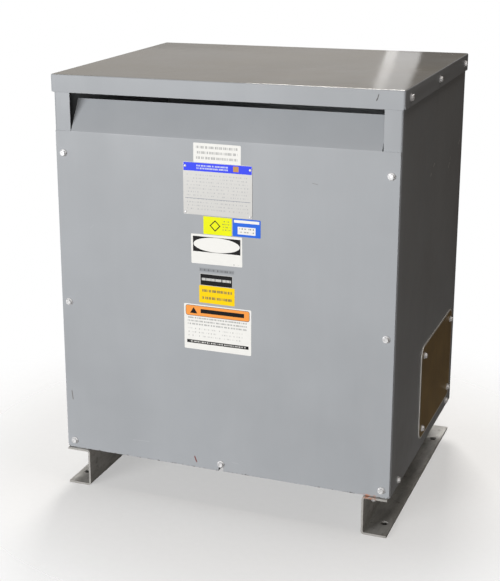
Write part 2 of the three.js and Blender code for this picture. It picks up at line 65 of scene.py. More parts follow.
SHEET = 1.9 * MM
FOOT_SHEET = 4.8 * MM
FOOT_BEND = 8 * MM
ANCHOR_SLOT_X = 355 * MM
ANCHOR_SLOT_ROWS = (-250 * MM, 225 * MM)  # along Y
BOLT_HOLE = 5.5 * MM  # radius
PANEL_SLOT = 5.5 * MM  # half width of the slot at the bottom of a panel
PANEL_CLIP = 6 * MM
SIDE_FLANGE_HALF_LENGTH = 214 * MM
CABLE_HOLE_INSET = 44 * MM  # from the access cover's ends
SILL_SHEET = 2.5 * MM
SILL_LEDGE = 40 * MM
SIDE_BEND = 5 * MM
POST_START = 340 * MM  # inner end of a side panel's returns
SHOULDER = 820 * MM  # where the flap starts
FLAP_TOP = 885 * MM
FLAP_DEPTH = 264 * MM
FLAP_HALF_WIDTH = 338 * MM
CABLE_HOLE = (194 * MM, 296 * MM)  # bottom and top
THROUGH = 5 * MM  # how far a cutter reaches past a wall
SCREW_HOLE = 3.7 * MM  # radius of the holes for the enclosure's screws
COVER_CORNER = 25 * MM
PHASES = ("left", "centre", "right")
SIDES = (("left", -1), ("right", 1))
ENDS = (("front", -1), ("rear", 1))
HALF_TURN = Matrix.Rotation(math.pi, 4, "Z")


def middle(node):
    """The centre of a CAD node's box."""
    low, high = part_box(node)
    return (low + high) / 2


# ------------------------------------------------------------------ outlines

def arc(centre_u, centre_v, radius, start, end, steps):
    """Points along an arc, angles in degrees."""
    points = []
    for i in range(steps + 1):
        angle = math.radians(start + (end - start) * i / steps)
        points.append((centre_u + radius * math.cos(angle), centre_v + radius * math.sin(angle)))
    return points


def circle(radius, u=0.0, v=0.0, steps=32):
    return arc(u, v, radius, 0, 360, steps)[:-1]


def rounded(low_u, low_v, high_u, high_v, radius, steps=6):
    """A rectangle with round corners."""
    inner = (low_u + radius, low_v + radius, high_u - radius, high_v - radius)
    points = arc(inner[2], inner[1], radius, -90, 0, steps)
    points += arc(inner[2], inner[3], radius, 0, 90, steps)
    points += arc(inner[0], inner[3], radius, 90, 180, steps)
    points += arc(inner[0], inner[1], radius, 180, 270, steps)
    return points


def bent_sheet(path, thickness, radius, steps=8):
    """The section of a bent sheet: the path follows one face and the sheet lies to its left."""
    points = [Vector(p) for p in path]
    heads = [(b - a).normalized() for a, b in zip(points, points[1:])]

    def left(head):
        return Vector((-head.y, head.x))

    def face(offset):
        outline = [points[0] + left(heads[0]) * offset]
        for i in range(1, len(heads)):
            before, after = heads[i - 1], heads[i]
            turn = math.atan2(before.cross(after), before.dot(after))
            side = math.copysign(1, turn)
            face_radius = radius if side > 0 else radius - thickness
            start = points[i] - before * face_radius * math.tan(abs(turn) / 2)
            centre = start + left(before) * side * face_radius
            spoke = left(before) * -side * (face_radius - side * offset)
            for step in range(steps + 1):
                turned = spoke.copy()
                turned.rotate(Matrix.Rotation(turn * step / steps, 2))
                outline.append(centre + turned)
        outline.append(points[-1] + left(heads[-1]) * offset)
        return outline

    return [tuple(p) for p in face(0) + face(thickness)[::-1]]


def on_side(path, side):
    """The same path on the left of the object, still with the sheet to its left."""
    return path if side > 0 else [(-u, v) for u, v in path][::-1]


# ------------------------------------------------------------------ solids in a bmesh

def point(axis, u, v, w):
    """The point at (u, v) in the plane across an axis, and w along it."""
    return {"x": (w, u, v), "y": (u, w, v), "z": (u, v, w)}[axis]


def add_prism(bm, axis, outline, start, end):
    """A straight prism of an outline."""
    rings = [[bm.verts.new(point(axis, u, v, w)) for u, v in outline] for w in (start, end)]
    for i in range(len(outline)):
        j = (i + 1) % len(outline)
        bm.faces.new((rings[0][i], rings[0][j], rings[1][j], rings[1][i]))
    bm.faces.new(rings[0])
    bm.faces.new(rings[1])


def add_box(bm, low, high):
    outline = [(low[0], low[1]), (high[0], low[1]), (high[0], high[1]), (low[0], high[1])]
    add_prism(bm, "z", outline, low[2], high[2])


def add_bar(bm, axis, radius, start, end, u=0.0, v=0.0, steps=32):
    add_prism(bm, axis, circle(radius, u, v, steps), start, end)


def add_hole(bm, axis, wall, u, v, radius=SCREW_HOLE):
    """A cutter through a wall that stands across an axis."""
    add_bar(bm, axis, radius, wall - THROUGH, wall + THROUGH, u, v, 24)


def add_turned(bm, profile, steps=32, axis="z", u=0.0, v=0.0):
    """A turned solid: profile points (radius, distance along the axis), from pole to pole."""
    rings = []
    for radius, w in profile:
        if radius < 1e-7:
            rings.append([bm.verts.new(point(axis, u, v, w))])
        else:
            rings.append([bm.verts.new(point(axis, *p, w)) for p in circle(radius, u, v, steps)])
    for a, b in zip(rings, rings[1:]):
        for i in range(steps):
            j = (i + 1) % steps
            corners = [a[i % len(a)], a[j % len(a)], b[j % len(b)], b[i % len(b)]]
            unique = list(dict.fromkeys(corners))
            bm.faces.new(unique)


def add_swept_ring(bm, profile, outline_at):
    """A closed ring: each profile point (offset, z) runs round the outline grown by that offset."""
    loops = [[bm.verts.new((x, y, z)) for x, y in outline_at(offset)] for offset, z in profile]
    add_skin(bm, loops + loops[:1])


def add_skin(bm, loops):
    """Faces between each loop of vertices and the next."""
    for a, b in zip(loops, loops[1:]):
        for i in range(len(a)):
            j = (i + 1) % len(a)
            bm.faces.new((a[i], a[j], b[j], b[i]))


def finish_mesh(name, bm, smooth=32):
    """Turns a bmesh into a linked object with sharp edges above an angle."""
    bmesh.ops.recalc_face_normals(bm, faces=bm.faces)
    mesh = bpy.data.meshes.new(name)
    bm.to_mesh(mesh)
    bm.free()
    return link_mesh(name, shade(mesh, smooth))


def shade(mesh, smooth=32):
    mesh.polygons.foreach_set("use_smooth", [True] * len(mesh.polygons))
    mesh.set_sharp_from_angle(angle=math.radians(smooth))
    return mesh


def link_mesh(name, mesh):
    obj = bpy.data.objects.new(name, mesh)
    bpy.context.scene.collection.objects.link(obj)
    return obj


def build(name, *makers, smooth=32):
    """One object from several functions that each add solids to its bmesh."""
    bm = bmesh.new()
    for maker in makers:
        maker(bm)
    return finish_mesh(name, bm, smooth)


def combine(obj, other, operation):
    """A boolean of two objects, kept as plain mesh on the first."""
    modifier = obj.modifiers.new("boolean", "BOOLEAN")
    modifier.operation = operation
    modifier.solver = "EXACT"
    modifier.object = other
    bpy.context.view_layer.update()
    graph = bpy.context.evaluated_depsgraph_get()
    mesh = bpy.data.meshes.new_from_object(obj.evaluated_get(graph))
    obj.modifiers.clear()
    obj.data = shade(mesh)
    bpy.data.objects.remove(other)
    return obj


def cut(obj, *makers):
    return combine(obj, build("cutter", *makers), "DIFFERENCE")


def soften(obj, width, segments=2):
    """Rounds the edges a little, as folding, punching and paint do."""
    modifier = obj.modifiers.new("soft_edges", "BEVEL")
    modifier.width = width
    modifier.segments = segments
    modifier.limit_method = "ANGLE"
    modifier.angle_limit = math.radians(40)
    modifier.harden_normals = True
    modifier.use_clamp_overlap = True
    return obj


def turn_round(obj):
    """Turns a front piece half a turn about the vertical axis, so that it fits the rear."""
    obj.data.transform(HALF_TURN)
    return obj


def finish_piece(obj, body, material, slot, *nodes):
    """Paints a piece, fixes it to its body and hides the CAD nodes that it stands for."""
    if not obj.data.materials:
        obj.data.materials.append(material)
    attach(obj, body)
    if nodes:
        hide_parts(*nodes)
    return obj


# ------------------------------------------------------------------ materials

def srgb(red, green, blue):
    """A colour given as 0 to 255 display values, as linear light."""
    def linear(value):
        value = value / 255
        return value / 12.92 if value <= 0.04045 else ((value + 0.055) / 1.055) ** 2.4
    return (linear(red), linear(green), linear(blue), 1.0)


class Surface:
    """A material under construction: each call adds a node and returns its output socket."""

    def __init__(self, name, roughness=0.5, metallic=0.0, coat=0.0, specular=0.5):
        self.material = bpy.data.materials.new(name)
        self.material.use_nodes = True
        self.tree = self.material.node_tree
        self.shader = self.tree.nodes["Principled BSDF"]
        self.shader.inputs["Roughness"].default_value = roughness
        self.shader.inputs["Metallic"].default_value = metallic
        self.shader.inputs["Coat Weight"].default_value = coat
        self.shader.inputs["Specular IOR Level"].default_value = specular
        coordinates = self.tree.nodes.new("ShaderNodeTexCoord")
        self.place = coordinates.outputs["Object"]
        split = self.tree.nodes.new("ShaderNodeSeparateXYZ")
        self.tree.links.new(self.place, split.inputs[0])
        self.x, self.y, self.z = split.outputs

    def feed(self, socket, value):
        if isinstance(value, bpy.types.NodeSocket):
            self.tree.links.new(value, socket)
        else:
            socket.default_value = value

    def math(self, operation, first, second=0.0, third=0.0):
        node = self.tree.nodes.new("ShaderNodeMath")
        node.operation = operation
        for socket, value in zip(node.inputs, (first, second, third)):
            self.feed(socket, value)
        return node.outputs[0]

    def scaled(self, x, y, z):
        """Object coordinates stretched by a factor along each axis."""
        node = self.tree.nodes.new("ShaderNodeMapping")
        self.feed(node.inputs["Vector"], self.place)
        node.inputs["Scale"].default_value = (x, y, z)
        return node.outputs[0]

    def noise(self, scale, detail=3.0, rough=0.5, place=None, distortion=0.0):
        node = self.tree.nodes.new("ShaderNodeTexNoise")
        self.feed(node.inputs["Vector"], place or self.place)
        node.inputs["Scale"].default_value = scale
        node.inputs["Detail"].default_value = detail
        node.inputs["Roughness"].default_value = rough
        node.inputs["Distortion"].default_value = distortion
        return node.outputs["Fac"]

    def ramp(self, value, low, high):
        """0 below low, 1 above high and smooth between; falling if low is above high."""
        node = self.tree.nodes.new("ShaderNodeMapRange")
        node.interpolation_type = "SMOOTHSTEP"
        self.feed(node.inputs["Value"], value)
        falling = low > high
        node.inputs["From Min"].default_value = min(low, high)
        node.inputs["From Max"].default_value = max(low, high)
        node.inputs["To Min"].default_value = 1.0 if falling else 0.0
        node.inputs["To Max"].default_value = 0.0 if falling else 1.0
        return node.outputs["Result"]

    def patches(self, scale, detail, rough, low, high, stretch=None):
        """Noise turned into soft patches, which can be stretched along an axis."""
        place = self.scaled(*stretch) if stretch else None
        return self.ramp(self.noise(scale, detail, rough, place), low, high)

    def between(self, value, low, high, blur=0.00015):
        """1 where the value lies between two limits."""
        return self.both(self.ramp(value, low - blur, low + blur),
                         self.ramp(value, high + blur, high - blur))

    def plus(self, first, second):
        return self.math("ADD", first, second)

    def minus(self, first, second):
        return self.math("SUBTRACT", first, second)

    def times(self, first, second):
        return self.math("MULTIPLY", first, second)

    def size(self, value):
        return self.math("ABSOLUTE", value)

    def both(self, first, second):
        """1 where two masks are both 1."""
        return self.times(first, second)

    def either(self, first, second):
        return self.math("MAXIMUM", first, second)

    def span(self, value, low, high):
        """Maps 0..1 to a range."""
        return self.math("MULTIPLY_ADD", value, high - low, low)

    def mix(self, share, first, second):
        node = self.tree.nodes.new("ShaderNodeMix")
        node.data_type = "RGBA"
        colors = [socket for socket in node.inputs if socket.type == "RGBA"]
        self.feed(node.inputs["Factor"], share)
        self.feed(colors[0], first)
        self.feed(colors[1], second)
        return [socket for socket in node.outputs if socket.type == "RGBA"][0]

    def tint(self, mask, share, color, ink):
        """The colour, with part of an ink's strength where the mask is."""
        return self.mix(self.times(mask, share), color, ink)

    def box(self, low_u, low_v, high_u, high_v):
        """1 inside a rectangle on the front, in metres of x and z."""
        return self.both(self.between(self.x, low_u, high_u), self.between(self.z, low_v, high_v))

    def rounded_box(self, low_u, low_v, high_u, high_v, radius, u=None, blur=0.0002):
        """1 inside a rectangle with round corners, on (x, z) or (u, z)."""
        past = []
        for value, low, high in ((u or self.x, low_u, high_u), (self.z, low_v, high_v)):
            offset = self.size(self.minus(value, (low + high) / 2))
            past.append(self.math("MAXIMUM", self.minus(offset, (high - low) / 2 - radius), 0.0))
        reach = self.math("SQRT", self.plus(self.both(past[0], past[0]), self.both(past[1], past[1])))
        return self.ramp(reach, radius + blur, radius - blur)

    def stroke(self, start, end, width, u=None, v=None):
        """1 along a thin straight mark between two points in the plane (u, v)."""
        u = self.x if u is None else u
        v = self.z if v is None else v
        along = Vector(end) - Vector(start)
        length = along.length
        along.normalize()
        from_u = self.minus(u, start[0])
        from_v = self.minus(v, start[1])
        distance = self.plus(self.times(from_u, along.x), self.times(from_v, along.y))
        offset = self.minus(self.times(from_v, along.x), self.times(from_u, along.y))
        across = self.ramp(self.size(offset), width, width * 0.3)
        return self.both(self.between(distance, 0, length, width), across)

    def bump(self, height, distance, strength=1.0, previous=None):
        node = self.tree.nodes.new("ShaderNodeBump")
        node.inputs["Strength"].default_value = strength
        node.inputs["Distance"].default_value = distance
        self.feed(node.inputs["Height"], height)
        if previous:
            self.feed(node.inputs["Normal"], previous)
        return node.outputs[0]

    def set(self, name, value):
        self.feed(self.shader.inputs[name], value)

    def finish(self, color, roughness, normal):
        """Wires the colour, roughness and relief, and returns the material."""
        for name, value in (("Base Color", color), ("Roughness", roughness), ("Normal", normal)):
            self.set(name, value)
        return self.material


# ------------------------------------------------------------------ painted sheet

PAINT = srgb(163, 167, 172)
PAINT_WORN = srgb(146, 149, 153)
PAINT_BRIGHT = srgb(176, 179, 183)
GRIME = srgb(92, 86, 78)
BARE_STEEL = srgb(128, 128, 130)
RUST = srgb(150, 86, 44)
RUST_DARK = srgb(84, 62, 48)


def enamel(surface, base, worn, bright, clouds=2.6):
    """Slow colour drift, faint streaks and specks of enamel sprayed on steel."""
    drift = surface.ramp(surface.noise(clouds, 4, 0.55), 0.32, 0.68)
    streaks = surface.patches(7, 5, 0.6, 0.42, 0.72, (1, 1, 0.16))
    color = surface.tint(drift, 0.35, base, worn)
    color = surface.tint(streaks, 0.22, color, bright)
    specks = surface.patches(420, 2, 0.5, 0.70, 0.76)
    return surface.tint(specks, 0.35, color, worn)


def enamel_relief(surface, waves=0.0016):
    """Orange peel over very shallow waves in the sheet."""
    slow = surface.bump(surface.noise(3.2, 1, 0.4), waves, 1.0)
    return surface.bump(surface.noise(650, 2, 0.5), 0.00006, 0.5, slow)


def chips_along(surface, edge_distance, reach, least=0.48):
    """Ragged chips that thin out away from an edge. A lower least makes more of them."""
    near = surface.ramp(edge_distance, reach, 0.0)
    ragged = surface.noise(110, 4, 0.65)
    return surface.ramp(surface.times(near, ragged), least, least + 0.05)


def add_chips(surface, color, chips, rust_share=0.25):
    """Bare metal and dark scale where the chips are, some of it rusty."""
    rust = surface.mix(surface.patches(260, 3, 0.6, 0.35, 0.65), RUST_DARK, RUST)
    bare = surface.mix(surface.patches(140, 3, 0.6, 0.4, 0.6), srgb(72, 70, 68), BARE_STEEL)
    rusty = surface.ramp(surface.noise(34, 3, 0.6), 1.0 - rust_share - 0.1, 1.0 - rust_share)
    return surface.mix(chips, color, surface.mix(rusty, bare, rust))


FRONT_SCUFFS = [  # start, end, half width; light marks on the front panel
    ((-0.211, 0.129), (-0.170, 0.131), 0.0012),
    ((0.026, 0.114), (0.041, 0.112), 0.0012),
    ((-0.052, 0.394), (-0.040, 0.390), 0.0008),
    ((-0.300, 0.610), (-0.292, 0.618), 0.0008),
]
SIDE_SCUFFS = [  # the same on the right-hand side panel, as (y, z)
    ((0.2545, 0.737), (0.2665, 0.744), 0.0016),
    ((0.150, 0.701), (0.160, 0.712), 0.0018),
    ((0.163, 0.716), (0.169, 0.723), 0.0012),
    ((-0.010, 0.735), (0.002, 0.741), 0.0016),
    ((-0.036, 0.719), (-0.026, 0.724), 0.0014),
]


def front_paint():
    """Front panel: light scuffs, a dark scratch, a rust fleck and chipped edges."""
    surface = Surface("front_enamel")
    color = enamel(surface, PAINT, PAINT_WORN, PAINT_BRIGHT)
    for start, end, width in FRONT_SCUFFS:
        mark = surface.stroke(start, end, width)
        color = surface.tint(mark, 0.6, color, PAINT_BRIGHT)
    scratch = surface.stroke((-0.3610, 0.2265), (-0.3585, 0.2050), 0.0016)
    nick = surface.stroke((0.198, 0.747), (0.210, 0.745), 0.0012)
    dark = surface.either(surface.times(scratch, 0.8), surface.times(nick, 0.4))
    color = surface.mix(dark, color, GRIME)
    above = surface.minus(surface.z, PANEL_LOW.z)
    beside = surface.minus(PANEL_HIGH.x, surface.size(surface.x))
    chips = surface.either(chips_along(surface, above, 0.008, 0.53),
                           chips_along(surface, beside, 0.004, 0.60))
    color = add_chips(surface, color, chips)
    weep = surface.both(surface.ramp(above, 0.0045, 0.001), surface.between(surface.x, 0.312, 0.346, 0.004))
    weep = surface.both(weep, surface.patches(90, 4, 0.6, 0.44, 0.58))
    color = surface.tint(weep, 0.8, color, srgb(186, 118, 82))
    fleck = surface.stroke((-0.0620, 0.1140), (-0.0570, 0.1005), 0.0022)
    color = surface.mix(fleck, color, srgb(122, 58, 50))
    smudges = surface.patches(9, 4, 0.6, 0.35, 0.7)
    return surface.finish(color, surface.span(smudges, 0.40, 0.52), enamel_relief(surface))


def shell_paint():
    """Side and rear panels: scuffs from handling and grime towards the floor."""
    surface = Surface("shell_enamel")
    color = enamel(surface, PAINT, PAINT_WORN, PAINT_BRIGHT)
    rubs = surface.patches(34, 5, 0.7, 0.70, 0.78, (1, 1, 0.45))
    color = surface.tint(rubs, 0.4, color, PAINT_BRIGHT)
    right = surface.ramp(surface.x, SIDE_HIGH.x - 0.002, SIDE_HIGH.x - 0.001)
    for start, end, width in SIDE_SCUFFS:
        mark = surface.both(surface.stroke(start, end, width, surface.y, surface.z), right)
        color = surface.mix(mark, color, srgb(240, 240, 238))
    above = surface.minus(surface.z, SIDE_LOW.z)
    low = surface.ramp(above, 0.16, 0.0)
    dirt = surface.both(low, surface.patches(14, 5, 0.65, 0.35, 0.75))
    color = surface.tint(dirt, 0.35, color, GRIME)
    color = add_chips(surface, color, chips_along(surface, above, 0.009))
    smudges = surface.patches(9, 4, 0.6, 0.35, 0.7)
    return surface.finish(color, surface.span(smudges, 0.40, 0.54), enamel_relief(surface))


def lid_paint():
    """Lid: glossy on top, with dust, a warm patchy tint on top that is partly a thin dirty film and partly
    a painted reflection of warm surroundings, and one scratch on the front skirt.
    """
    surface = Surface("lid_enamel")
    color = enamel(surface, PAINT, PAINT_WORN, PAINT_BRIGHT)
    top = surface.ramp(surface.z, LID_HIGH.z - 0.0008, LID_HIGH.z - 0.0001)
    # The film colour on the top is partly dirt and partly a painted reflection: it darkens and warms the
    # top as reflected warm surroundings do.
    film = surface.span(surface.patches(4, 5, 0.6, 0.3, 0.7), 0.5, 0.9)
    color = surface.mix(surface.both(film, top), color, srgb(154, 151, 144))
    dust = surface.patches(420, 2, 0.6, 0.69, 0.73)
    patches = surface.patches(5, 4, 0.6, 0.5, 0.75)
    dust = surface.both(surface.both(dust, top), surface.span(patches, 0.15, 1.0))
    color = surface.tint(dust, 0.6, color, srgb(206, 202, 194))
    above = surface.minus(surface.z, LID_LOW.z)
    color = add_chips(surface, color, chips_along(surface, above, 0.004, 0.56), 0.1)
    front = surface.ramp(surface.y, -0.300, -0.303)
    scratch = surface.either(surface.stroke((0.3290, 0.9310), (0.3270, 0.9235), 0.0012),
                             surface.stroke((0.3272, 0.9240), (0.3245, 0.9180), 0.0016))
    color = surface.mix(surface.both(scratch, front), color, srgb(70, 68, 66))
    haze = surface.patches(6, 5, 0.6, 0.35, 0.7)
    shine = surface.span(haze, 0.07, 0.13)
    return surface.finish(color, surface.plus(shine, surface.span(top, 0.46, 0.0)),
                          enamel_relief(surface, 0.0012))


def foot_paint():
    """Feet: dark scale and thin paint, worn bare at the ends, with a few rust spots."""
    surface = Surface("foot_steel")
    wear = surface.patches(20, 6, 0.7, 0.36, 0.66, (1, 0.3, 1))
    color = surface.mix(wear, srgb(146, 145, 142), srgb(194, 193, 190))
    dark = surface.patches(60, 4, 0.7, 0.56, 0.72)
    color = surface.tint(dark, 0.5, color, srgb(70, 67, 64))
    streaks = surface.patches(120, 4, 0.6, 0.60, 0.72, (1, 0.06, 1))
    color = surface.tint(streaks, 0.5, color, srgb(186, 185, 181))
    end = surface.minus(FOOT_HIGH.y, surface.size(surface.y))
    bare = chips_along(surface, end, 0.012, 0.30)
    color = surface.tint(bare, 0.5, color, srgb(150, 148, 144))
    high = surface.ramp(surface.z, FOOT_HIGH.z - 0.007, FOOT_HIGH.z - 0.004)
    near_bolt = surface.between(surface.x, FOOT_LOW.x + 0.003, FOOT_LOW.x + 0.030, 0.003)
    weep = surface.both(surface.both(surface.ramp(end, 0.012, 0.002), high), near_bolt)
    weep = surface.both(weep, surface.patches(90, 4, 0.6, 0.44, 0.60))
    color = surface.tint(weep, 0.8, color, srgb(168, 100, 62))
    spots = surface.patches(75, 5, 0.7, 0.68, 0.75)
    color = surface.tint(spots, 0.6, color, srgb(116, 84, 60))
    surface.set("Metallic", surface.span(wear, 0.10, 0.35))
    scale = surface.bump(surface.noise(170, 5, 0.65), 0.0004, 0.7)
    return surface.finish(color, surface.span(surface.noise(40, 4, 0.6), 0.42, 0.72),
                          surface.bump(surface.noise(12, 2, 0.5), 0.002, 0.6, scale))


def sill_paint():
    """Sills: thin grey primer, rusty where the foot bolts pull them against the feet."""
    surface = Surface("sill_primer")
    color = enamel(surface, srgb(126, 128, 130), srgb(104, 104, 103), srgb(140, 141, 142), 6)
    above = surface.minus(surface.z, SILL_LOW.z)
    color = add_chips(surface, color, chips_along(surface, above, 0.014))
    corner = surface.ramp(surface.size(surface.x), 0.285, 0.312)
    stain = surface.both(surface.both(corner, surface.ramp(above, 0.012, 0.002)),
                         surface.patches(70, 4, 0.6, 0.38, 0.52))
    color = surface.mix(stain, color, srgb(158, 92, 52))
    return surface.finish(color, surface.span(surface.noise(30, 4, 0.6), 0.45, 0.7), enamel_relief(surface))


def cover_paint():
    """Access cover: smooth brown-olive sheet with a near-white band round its edge, partly its bare cut
    edge and partly a painted highlight where the edge catches light.
    """
    surface = Surface("access_cover_sheet", metallic=0.35)
    cloud = surface.patches(8, 5, 0.6, 0.3, 0.7)
    color = surface.mix(cloud, srgb(156, 130, 88), srgb(178, 152, 106))
    streaks = surface.patches(60, 4, 0.6, 0.5, 0.75, (1, 1, 0.08))
    color = surface.tint(streaks, 0.3, color, srgb(132, 112, 78))
    # The rim band is partly bare cut edge and partly a painted highlight of the edge catching light.
    edge = 0.0034
    inside = surface.rounded_box(COVER_LOW.y + edge, COVER_LOW.z + edge, COVER_HIGH.y - edge,
                                 COVER_HIGH.z - edge, COVER_CORNER - edge, surface.y, 0.0012)
    rim = surface.minus(1.0, inside)
    color = surface.mix(rim, color, srgb(240, 239, 235))
    return surface.finish(color, surface.span(cloud, 0.34, 0.48), enamel_relief(surface, 0.0012))


# ------------------------------------------------------------------ metals, rubber and insulation

def plated(name, bright, dull, roughness, grain=420, metallic=0.95):
    """Plated or tinned metal: fine grain with duller patches."""
    surface = Surface(name, metallic=metallic)
    patches = surface.ramp(surface.noise(grain * 0.3, 4, 0.6), 0.35, 0.7)
    return surface.finish(surface.mix(patches, bright, dull),
                          surface.span(surface.noise(grain, 3, 0.6), roughness, roughness + 0.2),
                          surface.bump(surface.noise(grain * 2, 3, 0.6), 0.00008, 0.5))


def rubber():
    surface = Surface("rubber", specular=0.3)
    bloom = surface.patches(55, 5, 0.65, 0.45, 0.75)
    return surface.finish(surface.mix(bloom, srgb(28, 28, 29), srgb(62, 60, 57)),
                          surface.span(bloom, 0.72, 0.92),
                          surface.bump(surface.noise(700, 3, 0.6), 0.0001, 0.6))


def lamination_steel():
    """Edges of thin varnished laminations, which run across the stack's depth."""
    surface = Surface("laminations", metallic=0.75)
    layers = surface.noise(900, 1, 0.5, surface.scaled(0.004, 1, 0.004))
    streak = surface.ramp(layers, 0.40, 0.60)
    color = surface.mix(streak, srgb(70, 73, 82), srgb(112, 116, 126))
    blush = surface.patches(22, 5, 0.65, 0.58, 0.75)
    color = surface.tint(blush, 0.6, color, srgb(104, 74, 50))
    return surface.finish(color, surface.span(streak, 0.38, 0.58), surface.bump(layers, 0.0006, 0.7))


def clamp_paint():
    surface = Surface("clamp_enamel")
    cloud = surface.patches(16, 5, 0.6, 0.35, 0.7)
    return surface.finish(surface.mix(cloud, srgb(52, 54, 58), srgb(74, 75, 77)),
                          surface.span(cloud, 0.42, 0.6),
                          enamel_relief(surface))


def varnish(name, deep, pale, weave):
    """Varnish over paper or tape: amber pools over a fine wrap."""
    surface = Surface(name, coat=0.35)
    pools = surface.patches(18, 5, 0.65, 0.3, 0.7)
    color = surface.mix(pools, deep, pale)
    wrap = surface.noise(weave, 2, 0.5, surface.scaled(0.15, 0.15, 1))
    return surface.finish(surface.tint(wrap, 0.35, color, deep), surface.span(pools, 0.30, 0.5),
                          surface.bump(wrap, 0.0004, 0.6))


def board_resin():
    """Glass-polyester board: mottled red-brown with short pale fibres."""
    surface = Surface("board_resin")
    mottle = surface.patches(45, 5, 0.7, 0.35, 0.65)
    color = surface.mix(mottle, srgb(138, 48, 36), srgb(166, 68, 50))
    fibres = surface.patches(420, 2, 0.6, 0.62, 0.72, (0.2, 1, 1))
    color = surface.tint(fibres, 0.3, color, srgb(206, 160, 140))
    return surface.finish(color, surface.span(mottle, 0.5, 0.66), surface.bump(fibres, 0.0002, 0.4))


# ------------------------------------------------------------------ printed labels

def written_lines(surface, low_x, high_x, rows, height, seed, density=0.48, strength=0.75):
    """Rows of short dashes that stand for printed lines. They hold no letters."""
    ink = None
    for index, z in enumerate(rows):
        offset = surface.tree.nodes.new("ShaderNodeCombineXYZ")
        surface.feed(offset.inputs[0], surface.x)
        offset.inputs[1].default_value = seed + index * 1.7
        dashes = surface.ramp(surface.noise(330, 1, 0.5, offset.outputs[0]), density, density + 0.06)
        row = surface.both(surface.box(low_x, z - height / 2, high_x, z + height / 2), dashes)
        ink = row if ink is None else surface.either(ink, row)
    return surface.times(ink, strength)


def label_material(name, ground, prints=(), rough=0.38):
    """A printed film. Each print is (mask from the surface, colour)."""
    surface = Surface(name, roughness=rough, specular=0.2)
    tint = surface.patches(60, 4, 0.6, 0.3, 0.75)
    aged = tuple(channel * 0.94 for channel in ground[:3]) + (1.0,)
    color = surface.tint(tint, 0.5, ground, aged)
    for mask, ink in prints:
        color = surface.mix(mask(surface), color, ink)
    return surface.finish(color, surface.span(surface.noise(140, 3, 0.6), rough - 0.06, rough + 0.10),
                          surface.bump(surface.noise(90, 2, 0.5), 0.00012, 0.35))


def make_label(name, low_x, low_z, high_x, high_z, material, radius=2 * MM, tilt=0.0):
    """A thin film on the front panel, slightly tilted as it was stuck on by hand."""
    front = FACE - 0.32 * MM
    outline = rounded(low_x, low_z, high_x, high_z, radius)
    label = build(name, lambda bm: add_prism(bm, "y", outline, front, FACE - 0.02 * MM))
    centre = Vector(((low_x + high_x) / 2, 0, (low_z + high_z) / 2))
    spin = Matrix.Translation(centre) @ Matrix.Rotation(math.radians(tilt), 4, "Y")
    label.data.transform(spin @ Matrix.Translation(-centre))
    soften(label, 0.1 * MM, 1)
    return finish_piece(label, "front_cover", material, None)


WHITE = srgb(238, 238, 235)
BLACK = srgb(20, 20, 21)
INK = srgb(84, 86, 90)
YELLOW = srgb(236, 240, 2)
AMBER = srgb(252, 212, 0)
ORANGE = srgb(246, 158, 76)
BLUE = srgb(40, 106, 226)


